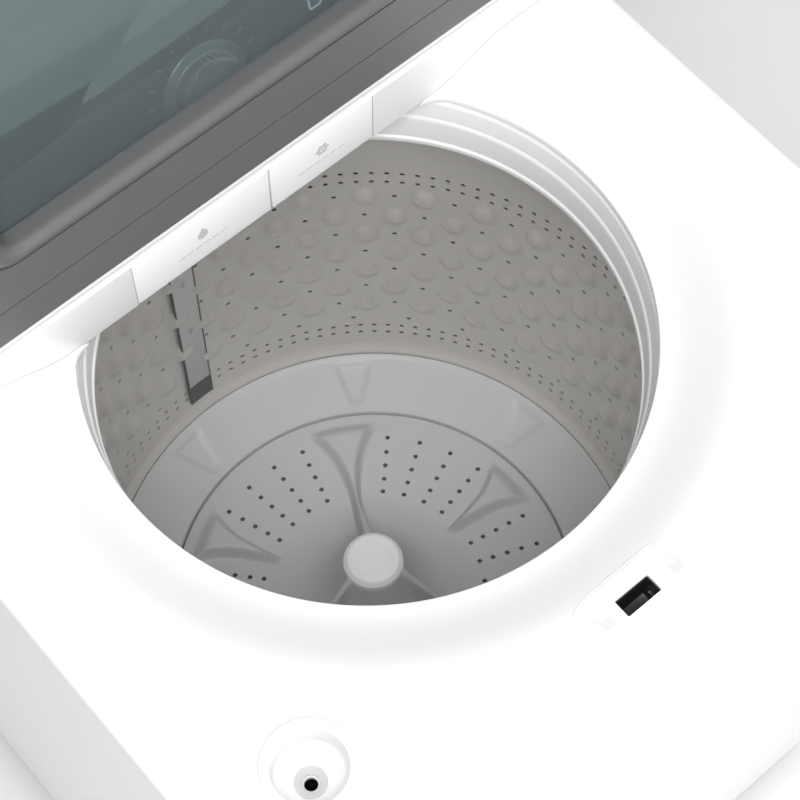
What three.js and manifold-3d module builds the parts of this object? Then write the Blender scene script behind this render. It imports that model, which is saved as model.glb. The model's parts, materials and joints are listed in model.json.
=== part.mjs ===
// Top-load washing machine with a 27-inch cabinet and a 21-inch stainless basket.
// Millimetres, +Z up, the front faces -Y. The origin is on the floor, on the basket's axis,
// under the middle of the cabinet. The lid stands open, as it does while the machine is loaded.
import * as THREE from 'three';
import { mergeVertices } from 'three/addons/utils/BufferGeometryUtils.js';
import Module from 'manifold-3d';

const wasm = await Module();
wasm.setup();

// ---- Driving dimensions ----
const GAP = 0.3; // between pieces that rest on each other
const ROUND = 40; // facets on the large turned pieces
const SMALL_ROUND = 16; // facets on the small turned pieces

const CABINET_HALF = 343; // half the width and half the depth
const CABINET_BOTTOM = 26;
const CABINET_TOP = 884;
const CABINET_CORNER = 18;
const SHEET = 1.5; // cabinet sheet steel

const DECK_TOP = 914;
const MOUTH_EDGE = 890; // height of the loading mouth's edge
const MOUTH_RADIUS = 222;
const BOWL_RADIUS = 288; // where the deck's bowl meets its flat rim
const DISPENSER_Y = 131.5; // front face of the dispenser block
const PLATFORM_TOP = 947;

const HINGE_Y = 145;
const HINGE_Z = 962;
const LID_OPEN_DEGREES = 94;
const LID_HALF = 325;
const LID_REAR = 8; // the lid's own coordinates start at the hinge axis, with the lid closed
const LID_FRONT = -470;
const LID_INNER = -12;
const LID_OUTER = 13;
const LID_SKIRT = -44;
const LID_WALL = 3;
const LID_SHEET = 4; // thickness of the lid's flat outer face

const CONSOLE_FRONT_Y = 184;
const CONSOLE_TOP_Y = 227;
const CONSOLE_TOP = 1090;
const CONSOLE_FACE_TOP = 1085;

const PLATE_EDGE = 347; // height of the wash plate's flat rim
const PLATE_RADIUS = 196;
const BASE_INNER = 198;
const BASE_OUTER = 254.8;
const BASKET_RADIUS = 265; // inside of the steel wall
const RING_BOTTOM = 826;
const RING_TOP = 882;
const RING_INNER = 214.6;
const TUB_RADIUS = 294;
const TUB_FLOOR = 298;
const TUB_TOP = 838;

const PULLEY_RADIUS = 92;
const MOTOR_PULLEY_RADIUS = 24;
const MOTOR_X = 175;
const ROD_OFFSET = 285; // suspension rods, from the axis along X and along Y
const FOOT_OFFSET = 300;

// ---- Finishes ----
const finish = (color, roughness, metalness = 0, opacity = 1) =>
  ({ color, roughness, metalness, opacity, transparent: opacity < 1 });
const WHITE_ENAMEL = finish(0xf3f4f4, 0.3);
const WHITE_PLASTIC = finish(0xf1f2f2, 0.4);
const GREY_PLASTIC = finish(0xb0b2b2, 0.45);
const PALE_PLASTIC = finish(0xd6d7d7, 0.4);
const DARK_PLASTIC = finish(0x616264, 0.5);
const BLACK_PLASTIC = finish(0x1c1d1f, 0.45);
const GLASS = finish(0x3f4b4e, 0.05, 0, 0.45);
const STAINLESS = finish(0xa9a49e, 0.25, 1);
const ZINC = finish(0x9fa2a4, 0.4, 1);
const CAST_METAL = finish(0x8b8d8f, 0.5, 1);
const RUBBER = finish(0x222222, 0.9);
const CHROME = finish(0xd0d2d4, 0.12, 1);
const BOARD = finish(0x2f6b3f, 0.6);

// ---- Shape helpers ----
const rad = THREE.MathUtils.degToRad;

function block([x0, x1], [y0, y1], [z0, z1]) {
  const box = new THREE.BoxGeometry(x1 - x0, y1 - y0, z1 - z0);
  return box.translate((x0 + x1) / 2, (y0 + y1) / 2, (z0 + z1) / 2);
}

function drum(radius, [z0, z1], [x, y] = [0, 0], facets = SMALL_ROUND) {
  const cylinder = new THREE.CylinderGeometry(radius, radius, z1 - z0, facets);
  return cylinder.rotateX(Math.PI / 2).translate(x, y, (z0 + z1) / 2);
}

// A drum along +Y, from y0 to y1.
function drumAlongY(radius, [y0, y1], [x, z], facets = SMALL_ROUND) {
  const cylinder = new THREE.CylinderGeometry(radius, radius, y1 - y0, facets);
  return cylinder.translate(x, (y0 + y1) / 2, z);
}

// A profile of [radius, height] turned about +Z. It closes on itself, or on the axis.
function turned(profile, facets = ROUND) {
  const points = profile.map(([r, z]) => new THREE.Vector2(r, z));
  if (THREE.ShapeUtils.area(points) < 0) points.reverse();
  if (points[0].x > 0 || points.at(-1).x > 0) points.push(points[0].clone());
  return new THREE.LatheGeometry(points, facets).rotateX(Math.PI / 2);
}

function roundedRectangle([x0, x1], [y0, y1], radius) {
  const shape = new THREE.Shape();
  const quarter = Math.PI / 2;
  shape.absarc(x1 - radius, y1 - radius, radius, 0, quarter, false);
  shape.absarc(x0 + radius, y1 - radius, radius, quarter, 2 * quarter, false);
  shape.absarc(x0 + radius, y0 + radius, radius, 2 * quarter, 3 * quarter, false);
  shape.absarc(x1 - radius, y0 + radius, radius, 3 * quarter, 4 * quarter, false);
  return shape;
}

function slab(shape, [z0, z1], curveSegments = 3) {
  const options = { depth: z1 - z0, bevelEnabled: false, curveSegments };
  return new THREE.ExtrudeGeometry(shape, options).translate(0, 0, z0);
}

// A profile of [y, z] extruded along X.
function alongX(profile, [x0, x1]) {
  const shape = new THREE.Shape(profile.map(([y, z]) => new THREE.Vector2(y, z)));
  return slab(shape, [x0, x1]).rotateY(Math.PI / 2).rotateX(Math.PI / 2);
}

function toSolid(geometry) {
  const bare = geometry.clone();
  bare.deleteAttribute('normal');
  bare.deleteAttribute('uv');
  const merged = mergeVertices(bare, 1e-4);
  const corners = merged.index.array;
  const triangles = [];
  for (let i = 0; i < corners.length; i += 3) {
    const [a, b, c] = corners.slice(i, i + 3);
    if (a !== b && b !== c && c !== a) triangles.push(a, b, c);
  }
  return new wasm.Manifold(new wasm.Mesh({
    numProp: 3,
    vertProperties: merged.attributes.position.array,
    triVerts: new Uint32Array(triangles),
  }));
}

function combine(first, others, operation) {
  let solid = toSolid(first);
  for (const other of others) solid = solid[operation](toSolid(other));
  const { vertProperties, triVerts } = solid.getMesh();
  const geometry = new THREE.BufferGeometry();
  geometry.setAttribute('position', new THREE.BufferAttribute(new Float32Array(vertProperties), 3));
  geometry.setIndex(new THREE.BufferAttribute(new Uint32Array(triVerts), 1));
  geometry.computeVertexNormals();
  return geometry;
}

const join = (first, ...others) => combine(first, others, 'add');
const cut = (first, ...others) => combine(first, others, 'subtract');
const common = (first, ...others) => combine(first, others, 'intersect');

function piece(group, name, geometry, look) {
  const mesh = new THREE.Mesh(geometry, new THREE.MeshStandardMaterial(look));
  mesh.name = name;
  group.add(mesh);
}

// The four corners of the machine, with the name that its corner pieces end in.
const CORNERS = [
  ['front_left', -1, -1],
  ['front_right', 1, -1],
  ['rear_left', -1, 1],
  ['rear_right', 1, 1],
];

const washer = new THREE.Group();

// ---- Cabinet ----
const VALVE_X = 230;
const VALVE_Z = 825;
const VALVE_SPACING = 50;
const DRAIN_PORT = [-230, 800];
const GLAND = [-290, 775];
const PANEL_SHEET = 1.3;
const PANEL_FRONT = CABINET_HALF - SHEET - GAP - PANEL_SHEET;
const REAR_FLANGE = 20; // the wrapper's returns along the rear edges
const GUSSET = [850, 853];

function squareTube(half, corner, wall, heights) {
  const outer = roundedRectangle([-half, half], [-half, half], corner);
  const reach = half - wall;
  const inner = roundedRectangle([-reach, reach], [-reach, reach], corner - wall);
  return cut(slab(outer, heights), slab(inner, [heights[0] - 1, heights[1] + 1]));
}

// A triangular plate across a top corner, which a suspension rod hangs from.
function rodGusset([, sx, sy]) {
  const leg = 150;
  const wall = CABINET_HALF - SHEET / 2;
  const rear = PANEL_FRONT - GAP;
  const round = CABINET_CORNER / 2;
  const rearOutline = [[wall, wall - leg], [wall, rear], [wall - leg, rear]];
  const frontOutline = [
    [wall, wall - leg], [wall, wall - round - 12], [wall - round, wall - round],
    [wall - round - 12, wall], [wall - leg, wall],
  ];
  const outline = sy > 0 ? rearOutline : frontOutline;
  const points = outline.map(([x, y]) => new THREE.Vector2(sx * x, sy * y));
  const plate = slab(new THREE.Shape(points), GUSSET);
  return cut(plate, drum(8, [GUSSET[0] - 5, GUSSET[1] + 5], [sx * ROD_OFFSET, sy * ROD_OFFSET], 12));
}

// The sheet wrapped round the front and sides, with a gusset in each top corner for a rod.
function cabinetWrapper() {
  const tube = squareTube(CABINET_HALF, CABINET_CORNER, SHEET, [CABINET_BOTTOM, CABINET_TOP]);
  const rearReach = CABINET_HALF - SHEET - REAR_FLANGE;
  const rearOpening = block([-rearReach, rearReach], [330, 350], [0, CABINET_TOP + 10]);
  return join(cut(tube, rearOpening), ...CORNERS.map(rodGusset));
}

function rearPanel() {
  const edge = CABINET_HALF - CABINET_CORNER + 1; // inside the round of the rear corners
  const span = [PANEL_FRONT, PANEL_FRONT + PANEL_SHEET];
  const through = [300, 360];
  return cut(
    block([-edge, edge], span, [62, 880]),
    drumAlongY(14.5, through, [VALVE_X - VALVE_SPACING / 2, VALVE_Z], 16),
    drumAlongY(14.5, through, [VALVE_X + VALVE_SPACING / 2, VALVE_Z], 16),
    drumAlongY(17.5, through, DRAIN_PORT, 16),
    drumAlongY(11.5, through, GLAND, 16),
  );
}

function baseFrame() {
  const half = CABINET_HALF - SHEET - GAP;
  const outer = roundedRectangle([-half, half], [-half, half], 17);
  const opening = roundedRectangle([-260, 260], [-260, 260], 40);
  const holes = CORNERS.map(([, sx, sy]) =>
    drum(7, [20, 40], [sx * FOOT_OFFSET, sy * FOOT_OFFSET], 12));
  const floor = cut(slab(outer, [28, 30.5]), slab(opening, [20, 40]), ...holes);
  return join(floor, squareTube(half, 17, 2.5, [28, 60]));
}

function levellingFoot(x, y) {
  const profile = [[0, 0], [21, 0], [23, 3], [23, 8], [12, 13], [12, 27.7], [6, 27.7], [6, 56], [0, 56]];
  return turned(profile, 12).translate(x, y, 0);
}

function suspensionRod(x, y) {
  const profile = [
    [0, 198], [17, 198], [17, 206], [4, 206], [4, GUSSET[1] + GAP], [11, GUSSET[1] + GAP], [9, 862], [0, 866],
  ];
  return turned(profile, 10).translate(x, y, 0);
}

function suspensionSpring(x, y) {
  return turned([[10, 206.3], [15, 206.3], [15, 325], [10, 325]], 12).translate(x, y, 0);
}

piece(washer, 'cabinet_wrapper', cabinetWrapper(), WHITE_ENAMEL);
piece(washer, 'rear_panel', rearPanel(), ZINC);
piece(washer, 'base_frame', baseFrame(), ZINC);
for (const [corner, sx, sy] of CORNERS) {
  const [rodX, rodY] = [sx * ROD_OFFSET, sy * ROD_OFFSET];
  piece(washer, `foot_${corner}`, levellingFoot(sx * FOOT_OFFSET, sy * FOOT_OFFSET), RUBBER);
  piece(washer, `suspension_rod_${corner}`, suspensionRod(rodX, rodY), ZINC);
  piece(washer, `suspension_spring_${corner}`, suspensionSpring(rodX, rodY), ZINC);
}

// ---- Water and power ports on the rear panel ----
function inletValve() {
  const body = block([VALVE_X - 45, VALVE_X + 25], [312, PANEL_FRONT - GAP], [VALVE_Z - 22, VALVE_Z + 22]);
  const nozzle = (x) => cut(
    drumAlongY(13, [330, CABINET_HALF], [x, VALVE_Z], 16),
    drumAlongY(9, [340, 350], [x, VALVE_Z], 16),
  );
  const nozzles = [-1, 1].map((side) => nozzle(VALVE_X + side * VALVE_SPACING / 2));
  return join(body, ...nozzles);
}

function portTube(radius, flange, bore, [x, z]) {
  const tube = join(
    drumAlongY(radius, [325, CABINET_HALF], [x, z], 16),
    drumAlongY(flange, [334, PANEL_FRONT - GAP], [x, z], 16),
  );
  return cut(tube, drumAlongY(bore, [320, 350], [x, z], 16));
}

piece(washer, 'inlet_valve', inletValve(), WHITE_PLASTIC);
piece(washer, 'drain_outlet', portTube(17, 26, 13, DRAIN_PORT), BLACK_PLASTIC);
piece(washer, 'cord_gland', portTube(11, 15, 5, GLAND), BLACK_PLASTIC);

// ---- Top deck, bleach cup and lid lock ----
const SLOT_Y = -295.5;
const SLOT_HALF = [16, 7.5];
const BLEACH = [-255, -240];
const DECK_SHEET = 2.5;
const REAR_CUT_X = 304;
const REAR_CUT_Y = 326;

function topDeck() {
  const under = DECK_TOP - DECK_SHEET;
  const bowl = turned([
    [MOUTH_RADIUS, MOUTH_EDGE - 5], [MOUTH_RADIUS + DECK_SHEET, MOUTH_EDGE - 5],
    [MOUTH_RADIUS + DECK_SHEET, MOUTH_EDGE - 1.6], [BOWL_RADIUS + 1, under], [500, under],
    [500, DECK_TOP], [BOWL_RADIUS, DECK_TOP], [MOUTH_RADIUS + 8, MOUTH_EDGE + 1.5],
    [MOUTH_RADIUS, MOUTH_EDGE],
  ], 60);
  const half = CABINET_HALF;
  const outer = roundedRectangle([-half, half], [-half, half], 20);
  const sheet = cut(
    common(bowl, slab(outer, [MOUTH_EDGE - 10, DECK_TOP + 1])),
    block([-REAR_CUT_X, REAR_CUT_X], [DISPENSER_Y - GAP, REAR_CUT_Y], [870, 930]),
    block([-SLOT_HALF[0], SLOT_HALF[0]], [SLOT_Y - SLOT_HALF[1], SLOT_Y + SLOT_HALF[1]], [900, 930]),
    drum(30, [900, 930], BLEACH, 24),
  );
  return join(sheet, squareTube(half, 20, DECK_SHEET, [CABINET_TOP + GAP, DECK_TOP - 0.5]));
}

function bleachCup() {
  return turned([
    [5, 868], [8, 868], [29.6, 884], [29.6, DECK_TOP + GAP], [35, DECK_TOP + GAP],
    [35, DECK_TOP + 2], [27.5, DECK_TOP + 2], [27.5, 886], [5, 872],
  ], 24).translate(...BLEACH, 0);
}

// A moulded box under the deck. The lid's strike drops into its slot, and the bolt crosses it.
function lidLockHousing() {
  return cut(
    block([-46, 46], [SLOT_Y - 26, SLOT_Y + 9], [872, DECK_TOP - DECK_SHEET - 1.2]),
    block([-15.5, 15.5], [SLOT_Y - 7, SLOT_Y + 7], [880, 920]),
    block([15, 43], [SLOT_Y - 3.4, SLOT_Y + 3.4], [889, 896]),
  );
}

piece(washer, 'top_deck', topDeck(), WHITE_ENAMEL);
piece(washer, 'bleach_cup', bleachCup(), WHITE_PLASTIC);
piece(washer, 'lid_lock_housing', lidLockHousing(), BLACK_PLASTIC);
piece(washer, 'lid_lock_bolt', block([17, 38], [SLOT_Y - 3, SLOT_Y + 3], [889.4, 895.6]), CHROME);

// ---- Dispenser block behind the mouth, with its two drawers ----
const DRAWERS = [
  ['detergent_drawer', -118, 14],
  ['softener_drawer', 14, 118],
];
const DRAWER_SEAM = 0.8; // half the seam between two fronts
const DRAWER_DEPTH = 155;
const TRAY_TOP = 938;
const TRAY_BOTTOM = 893.5;

const HOUSING_WALL = 3;
const BAY_FRONT = DISPENSER_Y + 4.5; // behind the drawer fronts

function dispenserHousing() {
  const wall = HOUSING_WALL;
  const front = DISPENSER_Y;
  const [low, high] = [MOUTH_EDGE - GAP, PLATFORM_TOP];
  const top = block([-338, 338], [front, 342.7], [DECK_TOP + GAP, high]);
  const skirt = block([-300, 300], [front, 322], [low, high]);
  const towers = [-1, 1].map((side) => alongX(
    [[137, 940], [153, 940], [153, 962], [150, 970], [140, 970], [137, 962]],
    side > 0 ? [326.5, 338] : [-338, -326.5],
  ));
  const hollowLow = block([-297, 297], [front + wall, 319], [870, high - wall]);
  const hollowTop = block([-335, 335], [front + wall, 339.7], [DECK_TOP, high - wall]);
  const pocket = block([-118, 118], [front - 1, BAY_FRONT], [870, high - 1]);
  const pins = hingeAxisDrum(5.4, [-345, 345]);
  return cut(join(top, skirt, ...towers), hollowLow, hollowTop, pocket, pins);
}

// The box under the platform that the two drawers slide in, one bay for each.
function drawerBay() {
  const low = MOUTH_EDGE - GAP;
  const box = block([-121, 121], [BAY_FRONT, 306], [low, PLATFORM_TOP - HOUSING_WALL - GAP]);
  const bays = DRAWERS.map(([, x0, x1]) =>
    block([x0 + 1.5, x1 - 1.5], [BAY_FRONT - 1, 303], [low + 2.5, PLATFORM_TOP]));
  return cut(box, ...bays);
}

function hingeAxisDrum(radius, [x0, x1]) {
  const cylinder = new THREE.CylinderGeometry(radius, radius, x1 - x0, 16).rotateZ(Math.PI / 2);
  return cylinder.translate((x0 + x1) / 2, HINGE_Y, HINGE_Z);
}

// An open tray behind a flat front.
function drawer(x0, x1) {
  const frontSpan = [x0 + DRAWER_SEAM, x1 - DRAWER_SEAM];
  const front = block(frontSpan, [DISPENSER_Y, DISPENSER_Y + 4], [MOUTH_EDGE + 0.3, PLATFORM_TOP - 1.5]);
  const [left, right] = [x0 + 6, x1 - 6];
  const rear = DISPENSER_Y + DRAWER_DEPTH;
  const body = block([left, right], [DISPENSER_Y + 3, rear], [TRAY_BOTTOM, TRAY_TOP]);
  const hollow = block([left + 2, right - 2], [DISPENSER_Y + 6, rear - 2], [TRAY_BOTTOM + 2.5, TRAY_TOP + 5]);
  return cut(join(front, body), hollow);
}

piece(washer, 'dispenser_housing', dispenserHousing(), WHITE_PLASTIC);
piece(washer, 'drawer_bay', drawerBay(), WHITE_PLASTIC);
for (const [name, x0, x1] of DRAWERS) piece(washer, name, drawer(x0, x1), WHITE_PLASTIC);

// ---- Console ----
const FACE_RUN = CONSOLE_TOP_Y - CONSOLE_FRONT_Y;
const FACE_RISE = CONSOLE_FACE_TOP - PLATFORM_TOP - GAP;
const FACE_LEAN = Math.atan2(FACE_RUN, FACE_RISE);
const FASCIA = { half: 290, low: 22, high: 122, front: -0.5, back: 3 };
const KNOB_HEIGHT = 72; // up the face, from its lower edge
const ROUND_BUTTONS = [['power_button', -245, 14], ['start_button', 245, 17]];
const BAR_BUTTONS = [['temperature_button', 92], ['spin_button', 158]];
const BAR_HALF = [20, 6];
const BAR_HEIGHT = 40;
const DISPLAY = { x: [60, 190], z: [60, 102] };

// The face's own coordinates: X across, Z up the slope, and -Y out of the face.
const face = new THREE.Group();
face.position.set(0, CONSOLE_FRONT_Y, PLATFORM_TOP + GAP);
face.rotation.x = -FACE_LEAN;

function consoleShell() {
  const low = PLATFORM_TOP + GAP;
  const rear = CABINET_HALF;
  const outer = alongX([
    [CONSOLE_FRONT_Y, low], [rear, low], [rear, CONSOLE_TOP - 8], [rear - 8, CONSOLE_TOP],
    [CONSOLE_TOP_Y + 9, CONSOLE_TOP], [CONSOLE_TOP_Y, CONSOLE_FACE_TOP],
  ], [-CABINET_HALF, CABINET_HALF]);
  const hollow = alongX([
    [CONSOLE_FRONT_Y + 3, low - 5], [rear - 3, low - 5], [rear - 3, CONSOLE_TOP - 9],
    [rear - 9, CONSOLE_TOP - 3], [CONSOLE_TOP_Y + 10, CONSOLE_TOP - 3],
    [CONSOLE_TOP_Y + 3, CONSOLE_FACE_TOP - 1], [CONSOLE_FRONT_Y + 3, low + 1],
  ], [3 - CABINET_HALF, CABINET_HALF - 3]);
  const reach = FASCIA.half + GAP;
  const opening = block([-reach, reach], [-6, 8], [FASCIA.low - GAP, FASCIA.high + GAP]);
  opening.rotateX(-FACE_LEAN).translate(0, CONSOLE_FRONT_Y, low);
  return cut(outer, hollow, opening);
}

function consoleFascia() {
  const through = [-5, 10];
  const plate = block([-FASCIA.half, FASCIA.half], [FASCIA.front, FASCIA.back], [FASCIA.low, FASCIA.high]);
  const clear = 0.5;
  return cut(
    plate,
    drumAlongY(5 + clear, through, [0, KNOB_HEIGHT], 12),
    block(DISPLAY.x, through, DISPLAY.z),
    ...ROUND_BUTTONS.map(([, x, r]) => drumAlongY(r + clear, through, [x, KNOB_HEIGHT])),
    ...BAR_BUTTONS.map(([, x]) => barButton(x, through, clear)),
  );
}

function barButton(x, depth, clear = 0) {
  const [w, h] = BAR_HALF;
  return block([x - w - clear, x + w + clear], depth, [BAR_HEIGHT - h - clear, BAR_HEIGHT + h + clear]);
}

function cycleKnob() {
  const profile = [
    [0, 12], [5, 12], [5, -1.5], [37, -1.5], [37, -5], [29, -8], [27, -22], [24, -24], [0, -24],
  ];
  return turned(profile, 32).rotateX(-Math.PI / 2).translate(0, 0, KNOB_HEIGHT);
}

// The board stands off the fascia on four posts.
function controlBoard() {
  const plate = block([-200, 210], [16, 19], [28, 116]);
  const post = (x, z) => drumAlongY(4, [FASCIA.back + GAP, 17], [x, z], 8);
  return join(plate, post(-190, 32), post(-190, 112), post(200, 32), post(200, 112));
}

function displayWindow() {
  const [[x0, x1], [z0, z1]] = [DISPLAY.x, DISPLAY.z];
  return block([x0 + GAP, x1 - GAP], [0, 2.7], [z0 + GAP, z1 - GAP]);
}

piece(washer, 'console_shell', consoleShell(), WHITE_PLASTIC);
piece(face, 'console_fascia', consoleFascia(), DARK_PLASTIC);
piece(face, 'display_window', displayWindow(), BLACK_PLASTIC);
piece(face, 'control_board', controlBoard(), BOARD);
piece(face, 'cycle_knob', cycleKnob(), CHROME);
for (const [name, x, radius] of ROUND_BUTTONS) {
  piece(face, name, drumAlongY(radius, [-4, 9], [x, KNOB_HEIGHT]), PALE_PLASTIC);
}
for (const [name, x] of BAR_BUTTONS) piece(face, name, barButton(x, [-3.5, 9]), PALE_PLASTIC);
washer.add(face);

// ---- Lid, in its own coordinates from the hinge axis ----
const WINDOW_X = 215;
const WINDOW_Y = [-400, -85];
const STRIKE_Y = -439;

const lid = new THREE.Group();
lid.position.set(0, HINGE_Y, HINGE_Z);
lid.rotation.x = -rad(LID_OPEN_DEGREES);

// The outer shell: a flat top with the window in it, and skirts at the front and sides.
function lidFrame() {
  const skirtEnd = -17;
  const outer = roundedRectangle([-LID_HALF, LID_HALF], [LID_FRONT, LID_REAR], 6);
  const reach = LID_HALF - LID_WALL;
  const depth = [LID_FRONT + LID_WALL, LID_REAR - LID_WALL];
  const inner = block([-reach, reach], depth, [-60, LID_OUTER - LID_SHEET]);
  const window = block([-WINDOW_X, WINDOW_X], WINDOW_Y, [0, 20]);
  const pinHoles = new THREE.CylinderGeometry(5.4, 5.4, 700, 16).rotateZ(Math.PI / 2);
  const clearOfBlock = block([-LID_HALF - 1, LID_HALF + 1], [skirtEnd, LID_REAR + 1], [-60, LID_INNER]);
  return cut(slab(outer, [LID_SKIRT, LID_OUTER]), inner, window, pinHoles, clearOfBlock);
}

// The dark inner liner that frames the glass, with a groove along its hinge side.
function lidInnerFrame() {
  const reach = LID_HALF - LID_WALL - GAP - 0.2;
  const [front, rear] = [LID_FRONT + LID_WALL + GAP, LID_REAR - LID_WALL - GAP];
  return cut(
    block([-reach, reach], [front, rear], [LID_INNER, 3]),
    block([-205, 205], [WINDOW_Y[0] + 10, WINDOW_Y[1] - 5], [-20, 10]),
    block([-reach - 1, reach + 1], [-32, -30.5], [-20, LID_INNER + 1.2]),
  );
}

function lidStrike() {
  const foot = block([-20, 20], [STRIKE_Y - 8, STRIKE_Y + 8], [LID_INNER - 3.5, LID_INNER - GAP]);
  const tongue = block([-12, 12], [STRIKE_Y - 2, STRIKE_Y + 2], [-76, LID_INNER - 3]);
  const notch = block([5, 13], [STRIKE_Y - 5, STRIKE_Y + 5], [-74.5, -64.5]);
  return cut(join(foot, tongue), notch);
}

function hingePin(side) {
  const profile = [[0, 321.9], [5, 321.9], [5, 338.4], [9, 338.4], [8, 342], [0, 342]];
  return turned(profile, 16).rotateY(side * Math.PI / 2);
}

piece(lid, 'lid_frame', lidFrame(), WHITE_ENAMEL);
piece(lid, 'lid_inner_frame', lidInnerFrame(), DARK_PLASTIC);
const glassY = [WINDOW_Y[0] - 8, WINDOW_Y[1] + 8];
piece(lid, 'lid_glass', block([-WINDOW_X - 8, WINDOW_X + 8], glassY, [3.3, 8.7]), GLASS);
piece(lid, 'lid_strike', lidStrike(), PALE_PLASTIC);
piece(lid, 'hinge_pin_left', hingePin(-1), ZINC);
piece(lid, 'hinge_pin_right', hingePin(1), ZINC);
washer.add(lid);

// ---- Outer tub and the drive that hangs under it ----
const EAR = [325 + GAP, 337];

function outerTub() {
  const wall = 4;
  const outside = TUB_RADIUS + wall;
  const shell = turned([
    [32, TUB_FLOOR - 6], [outside - 14, TUB_FLOOR - 6], [outside, TUB_FLOOR + 12],
    [outside, TUB_TOP - 8], [outside + 6, TUB_TOP - 8], [outside + 6, TUB_TOP],
    [TUB_RADIUS, TUB_TOP], [TUB_RADIUS, TUB_FLOOR + 14], [TUB_RADIUS - 12, TUB_FLOOR], [32, TUB_FLOOR],
  ]);
  const ears = CORNERS.map(([, sx, sy]) => {
    const ear = block([TUB_RADIUS + 1, 422], [-24, 24], EAR).rotateZ(Math.atan2(sy, sx));
    return cut(ear, drum(7, [300, 360], [sx * ROD_OFFSET, sy * ROD_OFFSET], 12));
  });
  return join(shell, ...ears);
}

function tubRing() {
  const [inner, outer] = [272, TUB_RADIUS + 10];
  return turned([
    [inner, TUB_TOP + 6], [outer - 5, TUB_TOP + 6], [outer - 5, TUB_TOP + GAP],
    [outer, TUB_TOP + GAP], [outer, TUB_TOP + 12], [inner, TUB_TOP + 12],
  ]);
}

function gearcase() {
  return turned([
    [8.5, 205], [58, 205], [78, 228], [78, 291.7], [24.6, 291.7], [24.6, 240], [8.5, 240],
  ], 24);
}

function drivePulley() {
  return turned([
    [0, 148], [20, 148], [20, 157], [84, 157], [84, 150], [PULLEY_RADIUS, 150], [PULLEY_RADIUS, 170],
    [84, 170], [84, 162], [20, 162], [20, 172], [8, 172], [8, 235], [0, 235],
  ], 24);
}

function motor() {
  const body = turned([[0, 185], [50, 185], [62, 192], [62, 284], [74, 284], [74, 291.7], [0, 291.7]], 24);
  return cut(body.translate(MOTOR_X, 0, 0), drum(7.6, [180, 206], [MOTOR_X, 0], 12));
}

function motorPulley() {
  const r = MOTOR_PULLEY_RADIUS;
  return turned([[0, 148], [r, 148], [r, 172], [7, 172], [7, 204], [0, 204]], 16).translate(MOTOR_X, 0, 0);
}

function beltOutline(large, small) {
  const wrap = Math.acos((large - small) / MOTOR_X);
  const shape = new THREE.Shape();
  shape.absarc(0, 0, large, wrap, 2 * Math.PI - wrap, false);
  shape.absarc(MOTOR_X, 0, small, -wrap, wrap, false);
  return shape;
}

function driveBelt() {
  const inside = 1.2; // the faceted belt clears the pulleys' corners
  const outside = inside + 5;
  const outer = beltOutline(PULLEY_RADIUS + outside, MOTOR_PULLEY_RADIUS + outside);
  outer.holes.push(beltOutline(PULLEY_RADIUS + inside, MOTOR_PULLEY_RADIUS + inside));
  return slab(outer, [152, 168], 12);
}

function drainPump() {
  const body = drum(38, [215, 291.7], [-150, -120], 20);
  const spout = drumAlongY(15, [-205, -140], [-150, 245], 12);
  return join(body, spout);
}

piece(washer, 'outer_tub', outerTub(), WHITE_PLASTIC);
piece(washer, 'tub_ring', tubRing(), WHITE_PLASTIC);
piece(washer, 'tub_seal', turned([[24.4, 293], [31.6, 293], [31.6, 303], [24.4, 303]], 28), RUBBER);
piece(washer, 'gearcase', gearcase(), CAST_METAL);
piece(washer, 'motor', motor(), ZINC);
piece(washer, 'motor_pulley', motorPulley(), CAST_METAL);
piece(washer, 'drive_pulley', drivePulley(), CAST_METAL);
piece(washer, 'drive_belt', driveBelt(), RUBBER);
piece(washer, 'clutch_ring', turned([[9, 178], [30, 178], [30, 188], [9, 188]], 20), WHITE_PLASTIC);
piece(washer, 'drain_pump', drainPump(), BLACK_PLASTIC);

// ---- Basket ----
const GUIDE = { angle: 91, half: 3, z: [388, 822] };

// The perforated wall. Its foot rolls in over the plastic base and is crimped down behind it.
function basketWall() {
  const [r, top] = [BASKET_RADIUS, RING_BOTTOM + 6];
  return turned([
    [r, top], [r, 377], [r - 2.2, 370.5], [r - 6.9, 365.2], [r - 6.9, 346],
    [r - 5.7, 346], [r - 5.7, 364.5], [r - 1.2, 369.7], [r + 1.2, 376.8], [r + 1.2, top],
  ]);
}

function balanceRing() {
  const outer = BASKET_RADIUS + 3.5;
  return turned([
    [RING_INNER, RING_BOTTOM], [BASKET_RADIUS - 1.2, RING_BOTTOM], [BASKET_RADIUS - 1.2, RING_BOTTOM + 6.4],
    [outer, RING_BOTTOM + 6.4], [outer, RING_TOP - 6], [outer - 6, RING_TOP],
    [RING_INNER + 8, RING_TOP], [RING_INNER + 4, RING_TOP - 6], [RING_INNER + 2, RING_TOP - 30],
  ]);
}

function basketBase() {
  const rim = BASKET_RADIUS - 7.6;
  return turned([
    [30, 324.5], [190, 324.5], [BASE_INNER, 330], [BASE_INNER, PLATE_EDGE], [BASE_OUTER, 363.7],
    [rim, 364.6], [rim, 347], [BASE_OUTER, 347], [BASE_OUTER, 359.4], [202, 343.5],
    [202, 327], [192, 320.3], [30, 320.3],
  ]);
}

function basketHub() {
  return turned([
    [10, 262], [24, 262], [24, 306.5], [80, 306.5], [80, 320], [29.4, 320], [29.4, 326], [10, 326],
  ], 24);
}

function loadGuideStrip() {
  const shape = new THREE.Shape();
  const [inner, outer] = [BASKET_RADIUS - 4, BASKET_RADIUS - 1.4];
  const [a0, a1] = [rad(GUIDE.angle - GUIDE.half), rad(GUIDE.angle + GUIDE.half)];
  shape.absarc(0, 0, outer, a0, a1, false);
  shape.absarc(0, 0, inner, a1, a0, true);
  return slab(shape, GUIDE.z, 2);
}

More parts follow.
